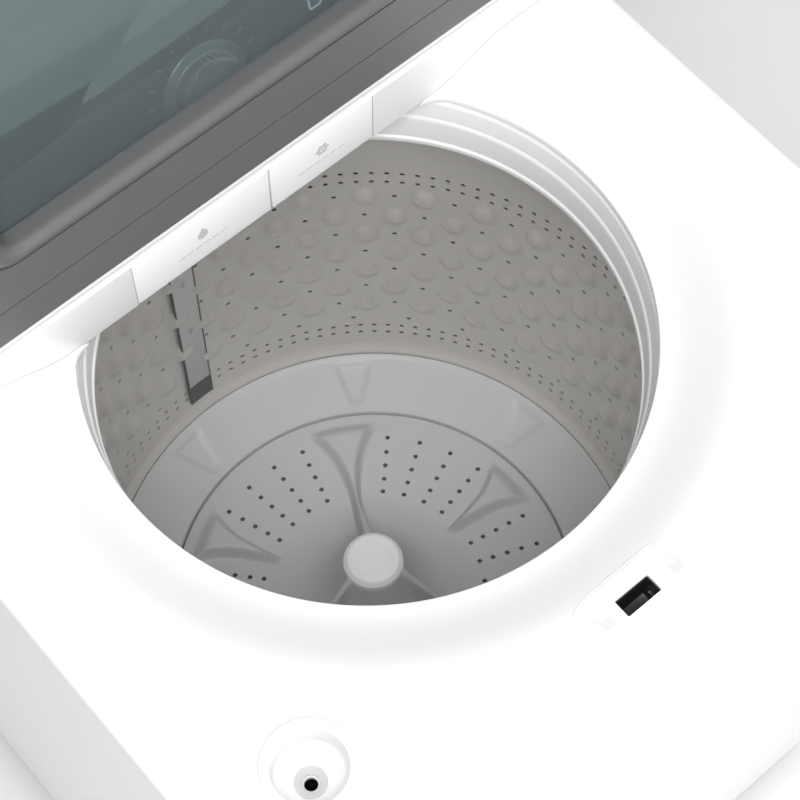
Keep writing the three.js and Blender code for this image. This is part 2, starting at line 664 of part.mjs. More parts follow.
piece(washer, 'basket_wall', basketWall(), STAINLESS);
piece(washer, 'balance_ring', balanceRing(), GREY_PLASTIC);
piece(washer, 'basket_base', basketBase(), GREY_PLASTIC);
piece(washer, 'basket_hub', basketHub(), CAST_METAL);
piece(washer, 'load_guide_strip', loadGuideStrip(), GREY_PLASTIC);

// ---- Wash plate and the shaft that turns it ----
const CAP_RADIUS = 28.5;
const VANE_EDGE = 184;
// Half widths of a vane at radii from the hub outwards: the long ones start as a fin at the cap.
const LONG_VANE = [[24, 6], [60, 5.5], [104, 4.5], [140, 12], [165, 23], [VANE_EDGE, 37]];
const SHORT_VANE = [[98, 3], [120, 6], [150, 12], [168, 20], [VANE_EDGE, 30]];
// Ridge heights of a vane above the plate's rim.
const LONG_RIDGE = [
  [CAP_RADIUS + 0.4, 84], [60, 52], [85, 29], [104, 18], [125, 15], [168, 14], [VANE_EDGE, 3],
];
const SHORT_RIDGE = [[96, 3], [108, 12], [125, 14], [168, 13], [VANE_EDGE, 3]];

function vane(widths, ridge, degrees) {
  const side = (sign) => new THREE.SplineCurve(widths.map(([r, w]) => new THREE.Vector2(r, sign * w)));
  const outline = [...side(-1).getPoints(6), ...side(1).getPoints(6).reverse()];
  const under = PLATE_EDGE - 2;
  const profile = ridge.map(([r, h]) => [r, PLATE_EDGE + h]);
  const envelope = turned([[ridge[0][0], under], ...profile, [VANE_EDGE + 1, under]], 24);
  const plan = slab(new THREE.Shape(outline), [under, PLATE_EDGE + 100]);
  return common(plan, envelope).rotateZ(rad(degrees));
}

function washPlate() {
  const z = PLATE_EDGE;
  const disc = turned([
    [PLATE_RADIUS, z], [PLATE_RADIUS, z - 12], [PLATE_RADIUS - 3, z - 12], [PLATE_RADIUS - 3, z - 3.5],
    [104, z - 3.5], [62, z + 12], [40, z + 40], [24, z + 64], [24, z - 19],
    [10, z - 19], [10, z + 68.3], [4.4, z + 68.3], [4.4, z + 75], [15, z + 75], [15, z + 80], [29, z + 80],
    [36, z + 58], [48, z + 34], [64, z + 16], [84, z + 5], [104, z],
  ], 36);
  const vanes = [60, 180, 300].map((degrees) => vane(LONG_VANE, LONG_RIDGE, degrees));
  const shortVanes = [0, 120, 240].map((degrees) => vane(SHORT_VANE, SHORT_RIDGE, degrees));
  return join(disc, ...vanes, ...shortVanes);
}

function hubCap() {
  const z = PLATE_EDGE + 80 + GAP;
  return turned([
    [0, z + 4], [20, z + 4], [22, z], [CAP_RADIUS, z], [CAP_RADIUS, z + 4], [25, z + 8.5],
    [14, z + 11], [0, z + 11.7],
  ], 32);
}

function plateBolt() {
  const z = PLATE_EDGE + 75 + GAP;
  return turned([[0, z - 30], [4, z - 30], [4, z], [9, z], [9, z + 6], [0, z + 6]], 12);
}

function driveShaft() {
  const top = PLATE_EDGE + 68;
  return turned([[0, 265], [9.6, 265], [9.6, top], [4.5, top], [4.5, top - 28], [0, top - 28]], 24);
}

piece(washer, 'wash_plate', washPlate(), GREY_PLASTIC);
piece(washer, 'hub_cap', hubCap(), PALE_PLASTIC);
piece(washer, 'plate_bolt', plateBolt(), ZINC);
piece(washer, 'drive_shaft', driveShaft(), ZINC);

export default washer;
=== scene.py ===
"""A top load washing machine with its lid open: the shells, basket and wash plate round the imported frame."""

import json
import math
from math import cos, pi, radians, sin
import bmesh
import bpy
from mathutils import Matrix, Vector

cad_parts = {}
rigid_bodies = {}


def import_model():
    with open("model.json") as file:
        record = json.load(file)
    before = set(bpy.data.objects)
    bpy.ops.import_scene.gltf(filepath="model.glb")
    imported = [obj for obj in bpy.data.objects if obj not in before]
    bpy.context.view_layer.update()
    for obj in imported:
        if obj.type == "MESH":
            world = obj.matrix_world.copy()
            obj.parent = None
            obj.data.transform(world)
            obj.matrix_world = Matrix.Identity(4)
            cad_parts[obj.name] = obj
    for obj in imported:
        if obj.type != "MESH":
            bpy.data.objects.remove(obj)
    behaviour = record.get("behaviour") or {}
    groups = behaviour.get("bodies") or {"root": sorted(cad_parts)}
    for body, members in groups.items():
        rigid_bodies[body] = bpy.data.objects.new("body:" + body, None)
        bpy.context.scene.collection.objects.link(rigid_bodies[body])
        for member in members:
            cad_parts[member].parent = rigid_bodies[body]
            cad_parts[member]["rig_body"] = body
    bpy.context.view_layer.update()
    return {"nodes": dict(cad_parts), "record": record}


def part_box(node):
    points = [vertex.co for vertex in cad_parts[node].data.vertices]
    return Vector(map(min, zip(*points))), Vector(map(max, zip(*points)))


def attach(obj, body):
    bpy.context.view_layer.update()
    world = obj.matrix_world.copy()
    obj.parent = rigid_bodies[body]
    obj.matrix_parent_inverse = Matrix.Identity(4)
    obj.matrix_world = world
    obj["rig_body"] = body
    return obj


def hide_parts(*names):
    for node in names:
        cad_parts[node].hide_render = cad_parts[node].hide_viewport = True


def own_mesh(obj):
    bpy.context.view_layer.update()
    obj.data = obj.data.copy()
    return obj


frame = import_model()
nodes = frame["nodes"]

MM = 0.001
SLOTS = {part["node"]: part["material_slot"] for part in frame["record"]["subparts"]}
CORNERS = {"front_left": (-1, -1), "front_right": (1, -1), "rear_left": (-1, 1), "rear_right": (1, 1)}


def span(node):
    """A node's lowest and highest corner in millimetres."""
    low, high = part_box(node)
    return low / MM, high / MM


# ---- Node trees ----
class Wire:
    """A socket of a node tree. Sums, differences and products of it add their Math nodes."""

    def __init__(self, graph, socket):
        self.graph, self.socket = graph, socket

    def maths(self, operation, *values):
        return self.graph.node("ShaderNodeMath", dict(enumerate(values)), operation=operation)

    def __add__(self, other): return self.maths("ADD", self, other)
    def __radd__(self, other): return self.maths("ADD", other, self)
    def __sub__(self, other): return self.maths("SUBTRACT", self, other)
    def __rsub__(self, other): return self.maths("SUBTRACT", other, self)
    def __mul__(self, other): return self.maths("MULTIPLY", self, other)
    def __rmul__(self, other): return self.maths("MULTIPLY", other, self)

    def soft_step(self, start, end):
        """0 below start, 1 above end and a smooth rise between them."""
        values = {"Value": self, "From Min": start, "From Max": end}
        return self.graph.node("ShaderNodeMapRange", values, interpolation_type="SMOOTHSTEP")


class Graph:
    """A node tree, with one method that adds any node to it."""

    def __init__(self, tree):
        self.tree = tree

    def node(self, kind, values=None, out=0, **settings):
        made = self.tree.nodes.new(kind)
        for name, setting in settings.items():
            setattr(made, name, setting)
        for socket, value in (values or {}).items():
            if isinstance(value, Wire):
                self.tree.links.new(value.socket, made.inputs[socket])
            else:
                made.inputs[socket].default_value = value
        return Wire(self, made.outputs[out]) if made.outputs else None

    def place(self):
        return self.node("ShaderNodeTexCoord", out="Object")

    def stretched(self, point, scale):
        return self.node("ShaderNodeVectorMath", {0: point, 1: scale}, operation="MULTIPLY")

    def noise(self, point, scale, detail=2.0):
        return self.node("ShaderNodeTexNoise", {"Vector": point, "Scale": scale, "Detail": detail})

    def cells(self, point, scale, out="Distance", **settings):
        return self.node("ShaderNodeTexVoronoi", {"Vector": point, "Scale": scale}, out=out, **settings)

    def tint(self, factor, first, second):
        values = {0: factor, 6: (*first, 1), 7: (*second, 1)}
        return self.node("ShaderNodeMix", values, out=2, data_type="RGBA")

    def bump(self, height, depth):
        """Relief whose full height is depth, in metres."""
        return self.node("ShaderNodeBump", {"Height": height, "Distance": depth, "Strength": 1.0})


# ---- Finishes ----
def make_finish(slot, recipe):
    """A material from a recipe, which takes a graph and a place and gives the shader's sockets."""
    material = bpy.data.materials.new(slot)
    material.use_nodes = True
    tree = material.node_tree
    tree.nodes.clear()
    graph = Graph(tree)
    shader = graph.node("ShaderNodeBsdfPrincipled", recipe(graph, graph.place()))
    graph.node("ShaderNodeOutputMaterial", {"Surface": shader})
    return material


def speckled(graph, point, colour, spread, size):
    """A colour that drifts a little over patches of that size."""
    drift = graph.noise(point, 1 / size, 3)
    darker = tuple(channel * (1 - spread) for channel in colour)
    return graph.tint(drift, darker, colour)


def moulded(colour, roughness, grain=0.0006, depth=0.00001, spread=0.03, **sockets):
    """Moulded plastic: a fine spark-eroded grain and a gloss that handling has made uneven."""
    def recipe(graph, point):
        rubbed = graph.noise(point, 14, 4)
        return {
            "Base Color": speckled(graph, point, colour, spread, 0.09),
            "Roughness": roughness * 0.85 + rubbed * (roughness * 0.3),
            "Normal": graph.bump(graph.noise(point, 1 / grain, 2), depth),
            **sockets,
        }
    return recipe


def enamel(graph, point):
    """Sprayed white enamel with a faint orange peel under a clear gloss."""
    peel = graph.noise(point, 380, 1)
    waves = graph.noise(point, 9, 2)
    return {
        "Base Color": speckled(graph, point, (0.87, 0.875, 0.88), 0.015, 0.2),
        "Roughness": 0.26 + waves * 0.08,
        "Coat Weight": 0.35, "Coat Roughness": 0.12,
        "Normal": graph.bump(peel, 0.00002),
    }


def rolled_steel(graph, point):
    """Stainless sheet: fine rolling lines round the basket, cloudy from water."""
    lines = graph.noise(graph.stretched(point, (30, 30, 2600)), 1, 3)
    clouds = graph.noise(point, 7, 4)
    return {
        "Base Color": graph.tint(clouds, (0.74, 0.722, 0.70), (0.82, 0.80, 0.775)),
        "Metallic": 0.5,
        "Roughness": 0.36 + lines * 0.1 + clouds * 0.08,
        "Normal": graph.bump(lines, 0.00001),
    }


def zinc_plate(graph, point):
    """Zinc plated sheet with its pale spangle."""
    spangle = graph.node("ShaderNodeSeparateColor", {0: graph.cells(point, 95, "Color")})
    return {
        "Base Color": graph.tint(spangle, (0.50, 0.515, 0.53), (0.64, 0.65, 0.66)),
        "Metallic": 0.9,
        "Roughness": 0.34 + spangle * 0.16,
        "Normal": graph.bump(graph.noise(point, 700, 2), 0.00001),
    }


def sand_casting(graph, point):
    """Die-cast aluminium, dull and slightly pitted."""
    pits = graph.cells(point, 650)
    return {
        "Base Color": speckled(graph, point, (0.42, 0.43, 0.44), 0.2, 0.03),
        "Metallic": 0.85,
        "Roughness": 0.48 + graph.noise(point, 60, 3) * 0.14,
        "Normal": graph.bump(pits, 0.00008),
    }


def smoked_glass(graph, point):
    """Toughened glass with a smoke tint and a trace of wiping."""
    wiped = graph.noise(graph.stretched(point, (4, 4, 26)), 1, 3)
    return {
        "Base Color": graph.tint(wiped, (0.33, 0.41, 0.42), (0.38, 0.45, 0.46)),
        "Roughness": 0.03 + wiped * 0.03,
        "Transmission Weight": 0.82, "IOR": 1.5,
    }


def bright_plate(graph, point):
    """Bright chrome, with a few fine handling marks."""
    marks = graph.noise(graph.stretched(point, (60, 900, 900)), 1, 2)
    return {
        "Base Color": speckled(graph, point, (0.72, 0.73, 0.74), 0.05, 0.02),
        "Metallic": 1.0, "Roughness": 0.12 + marks * 0.1,
        "Normal": graph.bump(marks, 0.000004),
    }


def solder_board(graph, point):
    """Green solder mask over darker copper tracks."""
    tracks = graph.cells(point, 160, distance="MANHATTAN").soft_step(0.28, 0.34)
    return {
        "Base Color": graph.tint(tracks, (0.02, 0.10, 0.045), (0.05, 0.20, 0.09)),
        "Roughness": 0.32 + tracks * 0.1,
        "Normal": graph.bump(tracks, 0.00006),
    }


WHITE = (0.86, 0.865, 0.87)
RECIPES = {
    "white_enamel": enamel,
    "white_plastic": moulded(WHITE, 0.34, spread=0.012, **{"Coat Weight": 0.15}),
    "tub_plastic": moulded((0.70, 0.71, 0.71), 0.5, grain=0.0012, depth=0.00003),
    "grey_plastic": moulded((0.56, 0.565, 0.57), 0.42),
    "pale_plastic": moulded((0.68, 0.685, 0.69), 0.36),
    "dark_plastic": moulded((0.125, 0.126, 0.130), 0.46, grain=0.0009, depth=0.00003, spread=0.08),
    "black_plastic": moulded((0.018, 0.018, 0.02), 0.4, grain=0.0008, depth=0.00003, spread=0.2),
    "smoked_glass": smoked_glass,
    "stainless": rolled_steel,
    "zinc": zinc_plate,
    "cast_metal": sand_casting,
    "rubber": moulded((0.022, 0.022, 0.023), 0.78, grain=0.0007, depth=0.00006, spread=0.3),
    "chrome": bright_plate,
    "circuit_board": solder_board,
}
FINISHES = {slot: make_finish(slot, recipe) for slot, recipe in RECIPES.items()}
INK = make_finish("printed_ink", moulded((0.36, 0.37, 0.38), 0.5))
PALE_INK = make_finish("pale_ink", moulded((0.52, 0.53, 0.54), 0.5))
SOFT_INK = make_finish("soft_ink", moulded((0.66, 0.67, 0.68), 0.5))
CAP_PLASTIC = make_finish("cap_plastic", moulded((0.93, 0.93, 0.93), 0.4))
RING_PLASTIC = make_finish("ring_plastic", moulded((0.84, 0.84, 0.84), 0.3))
PALE_RIBBON = make_finish("guide_ribbon", moulded((0.68, 0.685, 0.69), 0.3))
GLOW = make_finish("lit_segments", moulded((0.75, 0.85, 0.9), 0.3, **{
    "Emission Color": (0.7, 0.88, 1.0, 1), "Emission Strength": 0.8}))


def coat_frame_nodes():
    """Gives every node of the frame the finish that its record names."""
    for node, slot in SLOTS.items():
        worn = nodes[node].data.materials
        worn.clear()
        worn.append(FINISHES[slot])


# ---- Mesh work ----
def new_object(name, mesh):
    piece = bpy.data.objects.new(name, mesh)
    bpy.context.scene.collection.objects.link(piece)
    return piece


def close_up(mesh):
    """Merges seams and poles and turns the faces outwards."""
    work = bmesh.new()
    work.from_mesh(mesh)
    bmesh.ops.remove_doubles(work, verts=work.verts, dist=0.004 * MM)
    bmesh.ops.recalc_face_normals(work, faces=work.faces)
    work.to_mesh(mesh)
    work.free()


def solid(name, vertices, faces):
    """A closed piece from points in millimetres."""
    mesh = bpy.data.meshes.new(name)
    mesh.from_pydata([Vector(v) * MM for v in vertices], [], faces)
    close_up(mesh)
    return new_object(name, mesh)


def rounded(corners, facets=4):
    """A closed outline through [x, y, radius] corners, each rounded by an arc."""
    outline = []
    for i, (x, y, radius) in enumerate(corners):
        here = Vector((x, y))
        if not radius:
            outline.append(here)
            continue
        before = (Vector(corners[i - 1][:2]) - here).normalized()
        after = (Vector(corners[(i + 1) % len(corners)][:2]) - here).normalized()
        half = before.angle(after) / 2
        centre = here + (before + after).normalized() * radius / sin(half)
        first = here + before * radius / math.tan(half) - centre
        last = here + after * radius / math.tan(half) - centre
        turn = first.angle_signed(last)
        for step in range(facets + 1):
            a = -turn * step / facets
            outline.append(centre + Matrix.Rotation(a, 2) @ first)
    return outline


def on_axis(r, z, angle):
    return (r * cos(angle), r * sin(angle), z)


def skinned(name, loops, closed):
    """A closed piece through outlines of equal length: its last meets its first, or both have flat caps."""
    rows, count = len(loops), len(loops[0])
    faces = []
    for row in range(rows if closed else rows - 1):
        here, there = row * count, (row + 1) % rows * count
        faces += [(here + i, here + (i + 1) % count, there + (i + 1) % count, there + i)
                  for i in range(count)]
    if not closed:
        faces += [tuple(range(count)), tuple(range((rows - 1) * count, rows * count))]
    return solid(name, [point for loop in loops for point in loop], faces)


def stacked(name, loops):
    return skinned(name, loops, False)


def banded(name, loops):
    return skinned(name, loops, True)


def turned(name, profile, steps=96, place=on_axis, centre=(0, 0)):
    """A closed profile of radius and height carried once round the Z axis."""
    aside = Vector((*centre, 0))
    return banded(name, [[Vector(place(r, z, 2 * pi * step / steps)) + aside for r, z in profile]
                         for step in range(steps)])


def rectangle(x, y, radius, facets=4):
    """A rounded rectangle between two x and two y."""
    (x0, x1), (y0, y1) = x, y
    return rounded([(x0, y0, radius), (x1, y0, radius), (x1, y1, radius), (x0, y1, radius)], facets)


def arc(x, y, radius, start, end, count):
    """Points on an arc between two angles."""
    return [(x + radius * cos(a), y + radius * sin(a)) for a in steps_between(start, end, count)]


def disc(x, y, radius, facets=32):
    return arc(x, y, radius, 0, 2 * pi, facets)[:-1]


def pillow(name, outline, heights, edge=1.0, facets=3):
    """An upright slab of an outline, with its top and bottom edges rounded."""
    low, high = heights
    centre = sum((Vector(p) for p in outline), Vector((0, 0))) / len(outline)
    reach = max((Vector(p) - centre).length for p in outline)
    loops = []
    for z, side in ((low, -1), (high, 1)):
        turns = range(facets + 1)
        for step in (turns if side < 0 else reversed(turns)):
            a = pi / 2 * step / facets
            shrink = 1 - edge * (1 - sin(a)) / reach
            height = z - side * edge * (1 - cos(a))
            loops.append([(*(centre + (Vector(p) - centre) * shrink), height) for p in outline])
    return stacked(name, loops)


def bake(piece):
    """Turns a piece and its modifiers into a plain mesh."""
    bpy.context.view_layer.update()
    evaluated = piece.evaluated_get(bpy.context.evaluated_depsgraph_get())
    piece.data = bpy.data.meshes.new_from_object(evaluated)
    piece.modifiers.clear()
    return piece


def carve(piece, *tools, operation="DIFFERENCE"):
    """Cuts tools out of a piece, or joins them to it, and takes the tools away."""
    for tool in tools:
        change = piece.modifiers.new("carve", "BOOLEAN")
        change.object, change.operation, change.solver = tool, operation, "MANIFOLD"
    bake(piece)
    for tool in tools:
        bpy.data.objects.remove(tool)
    return piece


def eased(piece, width, segments=2, sharpest=30):
    """Rounds the sharp edges of a piece."""
    change = piece.modifiers.new("ease", "BEVEL")
    change.width, change.segments = width * MM, segments
    change.limit_method, change.angle_limit = "ANGLE", radians(sharpest)
    return bake(piece)


def flat_copy(node):
    """A copy of a frame node with its triangles merged into flat faces."""
    mesh = nodes[node].data.copy()
    work = bmesh.new()
    work.from_mesh(mesh)
    bmesh.ops.remove_doubles(work, verts=work.verts, dist=0.002 * MM)
    bmesh.ops.dissolve_limit(work, angle_limit=radians(0.3), verts=work.verts, edges=work.edges)
    work.to_mesh(mesh)
    work.free()
    return new_object(node + "_shell", mesh)


def fit(piece, body, slot, *replaced, finish=None, crease=32):
    """Finishes a piece: its material, its smooth and sharp edges, and what it rides on."""
    mesh = piece.data
    mesh.materials.clear()
    mesh.materials.append(finish or FINISHES[slot])
    mesh.shade_smooth()
    mesh.set_sharp_from_angle(angle=radians(crease))
    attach(piece, body)
    if replaced:
        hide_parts(*replaced)
    return piece


def stand_in(piece, node, finish=None, crease=32):
    """Fits a piece in the place of a frame node, on its body and in its slot."""
    return fit(piece, nodes[node]["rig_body"], SLOTS[node], node, finish=finish, crease=crease)


def softened(width, *names, segments=2):
    """Stands the frame nodes' own shapes in for them, with their edges rounded."""
    for node in names:
        stand_in(eased(flat_copy(node), width, segments), node)


def along(table, r):
    """Smooth value at r of a table of [r, value] rows."""
    if r <= table[0][0]:
        return table[0][1]
    for i in range(len(table) - 1):
        (r0, v0), (r1, v1) = table[i], table[i + 1]
        if r <= r1:
            before = table[max(i - 1, 0)]
            after = table[min(i + 2, len(table) - 1)]
            slope0 = (v1 - before[1]) / (r1 - before[0])
            slope1 = (after[1] - v0) / (after[0] - r0)
            length = r1 - r0
            t = (r - r0) / length
            return (v0 * (1 + 2 * t) * (1 - t) ** 2 + v1 * t * t * (3 - 2 * t)
                    + length * (slope0 * t * (1 - t) ** 2 - slope1 * t * t * (1 - t)))
    return table[-1][1]


def rise(value, start, end):
    """0 before start, 1 after end, smooth between."""
    t = min(max((value - start) / (end - start), 0), 1)
    return t * t * (3 - 2 * t)


def steps_between(first, last, count):
    return [first + (last - first) * i / count for i in range(count + 1)]


# ---- Geometry Nodes ----
def geometry_tree(name, inputs):
    """A tree with a geometry input, named inputs and a geometry output."""
    tree = bpy.data.node_groups.new(name, "GeometryNodeTree")
    tree.interface.new_socket("Points", in_out="INPUT", socket_type="NodeSocketGeometry")
    for label, kind in inputs.items():
        tree.interface.new_socket(label, in_out="INPUT", socket_type="NodeSocket" + kind)
    tree.interface.new_socket("Result", in_out="OUTPUT", socket_type="NodeSocketGeometry")
    graph = Graph(tree)
    entry = tree.nodes.new("NodeGroupInput")
    return graph, {out.name: Wire(graph, out) for out in entry.outputs if out.name}


def run_tree(piece, graph, values):
    """Runs a tree on a piece with named values and keeps the mesh that it makes."""
    change = piece.modifiers.new(graph.tree.name, "NODES")
    change.node_group = graph.tree
    for item in graph.tree.interface.items_tree:
        if item.in_out == "INPUT" and item.name in values:
            change[item.identifier] = values[item.name]
    return bake(piece)


def copies_tree():
    """Puts one part on every point, leaned and sized alike."""
    inputs = {"Part": "Object", "Lean": "Vector", "Size": "Float", "Finish": "Material"}
    graph, given = geometry_tree("copies of a part", inputs)
    part = graph.node("GeometryNodeObjectInfo", {"Object": given["Part"]}, out="Geometry")
    turn = graph.node("FunctionNodeEulerToRotation", {0: given["Lean"]})
    placed = graph.node("GeometryNodeInstanceOnPoints", {
        "Points": given["Points"], "Instance": part, "Rotation": turn, "Scale": given["Size"]})
    real = graph.node("GeometryNodeRealizeInstances", {0: placed})
    graph.node("NodeGroupOutput", {0: graph.node("GeometryNodeSetMaterial", {
        "Geometry": real, "Material": given["Finish"]})})
    return graph


COPIES = copies_tree()


def copies(name, part, points, finish, lean=(0, 0, 0), size=1.0):
    """Copies of a part at points in millimetres, as one piece."""
    mesh = bpy.data.meshes.new(name)
    mesh.from_pydata([Vector(p) * MM for p in points], [], [])
    piece = new_object(name, mesh)
    values = {"Part": part, "Lean": Vector(lean), "Size": size, "Finish": finish}
    run_tree(piece, COPIES, values)
    bpy.data.objects.remove(part)
    return piece


# ---- Wash plate ----
CONE = [(29, 80), (36, 58), (48, 34), (64, 16), (84, 5), (104, 0), (190, 0)]
LONG_VANE = [(24, 6), (60, 5.5), (104, 5), (140, 12), (165, 23), (184, 36)]
LONG_RIDGE = [(28.9, 83), (60, 51), (85, 28), (104, 17), (125, 15), (168, 13.5), (173, 12), (185, 0)]
SHORT_VANE = [(98, 3), (120, 6), (150, 12), (168, 20), (184, 30)]
SHORT_RIDGE = [(95, 0), (101, 8), (110, 12.5), (125, 13.5), (168, 13), (173, 11.5), (185, 0)]
FLANK = [(29, 5), (90, 5), (120, 8), (184, 10)]  # width of a vane's sloping side


def vane_rise(r, angle):
    """Height that the vanes add to the plate at a radius and angle."""
    ground = along(CONE, r)
    best = 0
    for offset, widths, ridge in ((60, LONG_VANE, LONG_RIDGE), (0, SHORT_VANE, SHORT_RIDGE)):
        if r < ridge[0][0]:
            continue
        turn = (math.degrees(angle) - offset + 60) % 120 - 60
        aside = r * radians(abs(turn))
        half, flank = along(widths, r), along(FLANK, r)
        share = 1 - rise(aside, half - flank * 0.75, half + flank * 0.25)
        best = max(best, (max(along(ridge, r), ground) - ground) * share)
    return best


def plate_holes(low, high):
    """Drills for the drain holes: five in each of eight lines between two long vanes."""
    drill = turned("drain drill", [(0, low), (2.4, low), (2.4, high), (0, high)], 14)
    points = []
    for long_vane in (60, 180, 300):
        for offset in (15, 26.2, 37.4, 48.5):
            for side in (-1, 1):
                a = radians(long_vane + side * offset)
                points += [(r * cos(a), r * sin(a), 0) for r in (110, 124, 139, 154, 170)]
    return copies("drain drills", drill, points, FINISHES["grey_plastic"])


def wash_plate():
    high = span("wash_plate")[1]
    edge, rim = high.x, high.z - 84  # rim: the flat top near the edge
    cone = [29 + 75 * (i / 30) ** 1.4 for i in range(31)]
    flat = steps_between(104, 184, 32)[1:] + steps_between(184, 193, 3)[1:]
    top = [(r, rim + along(CONE, r)) for r in cone + flat]
    lip = [(edge - 1.5, rim), (edge - 0.5, rim - 0.4), (edge, rim - 1.5), (edge, rim - 12)]
    under = [(edge - 3, rim - 12), (edge - 3, rim - 3.5), (104, rim - 3.5), (62, rim + 12),
             (40, rim + 40), (24, rim + 64), (24, rim - 19), (10, rim - 19), (10, rim + 68.3),
             (4.4, rim + 68.3), (4.4, rim + 75), (15, rim + 75), (15, rim + 80)]
    tops = {(r, z) for r, z in top}

    def place(r, z, angle):
        return on_axis(r, z + vane_rise(r, angle) if (r, z) in tops else z, angle)

    plate = turned("wash_plate_moulding", top + lip + under, 600, place)
    carve(plate, plate_holes(rim - 8, rim + 5))
    return stand_in(plate, "wash_plate", crease=40)


def hub_cap():
    low, high = span("hub_cap")
    r, z = high.x, low.z
    profile = rounded([(0, z + 4, 0), (20, z + 4, 0), (22, z, 0), (r, z, 0.8), (r, z + 4, 1.5),
                       (24.4, z + 8.4, 3), (14, z + 10.6, 12), (0, z + 11.7, 0)], 6)
    cap = turned("hub_cap_moulding", profile, 96)
    groove = turned("cap groove", rounded([(19.4, z + 8.9, 0), (20.4, z + 8.7, 0), (20.4, z + 14, 0),
                                           (19.4, z + 14, 0)]), 96)
    return stand_in(carve(cap, groove), "hub_cap", CAP_PLASTIC)


# ---- Basket ----
SCALLOPS = 8
SCALLOP_START = 9.7  # degrees from +X


def scallop_depth(r, angle):
    """Depth of the tapered hollows in the sloping base."""
    pitch = 360 / SCALLOPS
    turn = abs((math.degrees(angle) - SCALLOP_START + pitch / 2) % pitch - pitch / 2)
    half = radians(1.8 + 2.8 * (r - 208) / 41) * r
    aside = radians(turn) * r
    share = 1 - rise(aside, half - 3.5, half)
    return 2.2 * share * rise(r, 204, 212) * (1 - rise(r, 245, 249.5))


def basket_base():
    low, high = span("basket_base")
    rim_r, rim_z, foot = high.x, high.z, low.z
    inner, outer, plate_z, cone_z = 198, rim_r - 2.6, rim_z - 17.6, rim_z - 0.9
    slope = [(inner + 0.9, plate_z + 0.4)] + [
        (r, plate_z + (cone_z - plate_z) * (r - inner) / (outer - inner))
        for r in steps_between(200, 252, 26)]
    top = set(slope)
    profile = [(30, foot + 4.2), (190, foot + 4.2), (inner, foot + 9.7), (inner, plate_z - 0.7)] + slope
    profile += [(outer - 1, cone_z), (outer, cone_z + 0.5), (rim_r - 0.7, rim_z), (rim_r, rim_z - 0.5),
                (rim_r, plate_z), (outer, plate_z), (outer, rim_z - 5.2), (202, plate_z - 3.5),
                (202, foot + 6.7), (192, foot), (30, foot)]

    def place(r, z, angle):
        return on_axis(r, z - scallop_depth(r, angle) if (r, z) in top else z, angle)

    base = turned("basket_base_moulding", profile, 480, place)
    return stand_in(base, "basket_base", crease=40)


COLUMN = 0.75  # degrees between two columns of the wall's mesh


def wall_tile(name, columns, heights, hole=None, hole_radius=2.3, inset=None):
    """A flat tile of the wall: x in columns, z in millimetres and y how far it bulges inwards.
    A hole is centred on a crossing of the grid and takes the four cells round it."""
    inset = inset or (lambda x, z: 0)
    inward = radians(COLUMN) * 265
    rows = len(heights)
    vertices = [(x, inset(x, z), z) for z in heights for x in range(columns + 1)]
    faces = []
    for row in range(rows - 1):
        for x in range(columns):
            if hole and x in (hole[0] - 1, hole[0]) and row in (hole[1] - 1, hole[1]):
                continue
            start = row * (columns + 1) + x
            faces.append((start, start + 1, start + columns + 2, start + columns + 1))
    if hole:
        column, row = hole
        around = [(1, 0), (1, 1), (0, 1), (-1, 1), (-1, 0), (-1, -1), (0, -1), (1, -1)]
        square = [(row + dz) * (columns + 1) + column + dx for dx, dz in around]
        first = len(vertices)
        for i in range(16):
            a = 2 * pi * i / 16
            x = column + hole_radius * cos(a) / inward
            z = heights[row] + hole_radius * sin(a)
            vertices.append((x, inset(x, z), z))
        for i in range(8):
            a, b, c = first + 2 * i, first + 2 * i + 1, first + (2 * i + 2) % 16
            faces += [(square[i], b, a), (square[i], square[(i + 1) % 8], c, b)]
    mesh = bpy.data.meshes.new(name)
    mesh.from_pydata([(x, y * MM, z * MM) for x, y, z in vertices], [], faces)
    return new_object(name, mesh)


def wall_bands():
    """The wall's bands from the foot up: tile, columns per tile, height of the band, turn in columns."""
    small = steps_between(0, 14, 4)
    dimple_rise = 5.6

    def dome(x, z):
        away = math.hypot((x - 4) * radians(COLUMN) * 265 / 14.0, (z - 16.5) / 14.5)
        return dimple_rise * (1 - rise(away, 0.5, 1.0))

    tiles = {
        "foot": wall_tile("foot tile", 16, [0, 4, 10, 18.4, 19.2, 21.5, 24.5, 28, 31], None,
                          inset=lambda x, z: along([(0, 6.9), (18, 6.9), (19.2, 6.9), (24.5, 2.2),
                                                    (28, 0.4), (31, 0)], z)),
        "plain": wall_tile("plain tile", 16, [0, 7, 14]),
        "pinhole": wall_tile("pinhole tile", 4, small, (2, 2)),
        "sparse": wall_tile("sparse tile", 16, steps_between(0, 20, 4), (8, 2)),
        "gap": wall_tile("gap tile", 16, [0, 5]),
        "dimple": wall_tile("dimple tile", 16, steps_between(0, 33, 6), (12, 3), inset=dome),
        "shoulder": wall_tile("shoulder tile", 16, [0, 42, 84, 124, 129]),
    }
    order = [("foot", 31), ("plain", 14), ("pinhole", 14), ("pinhole", 14), ("sparse", 20), ("gap", 5)]
    order += [("dimple", 33)] * 7 + [("pinhole", 14), ("pinhole", 14), ("shoulder", 129)]
    return tiles, order


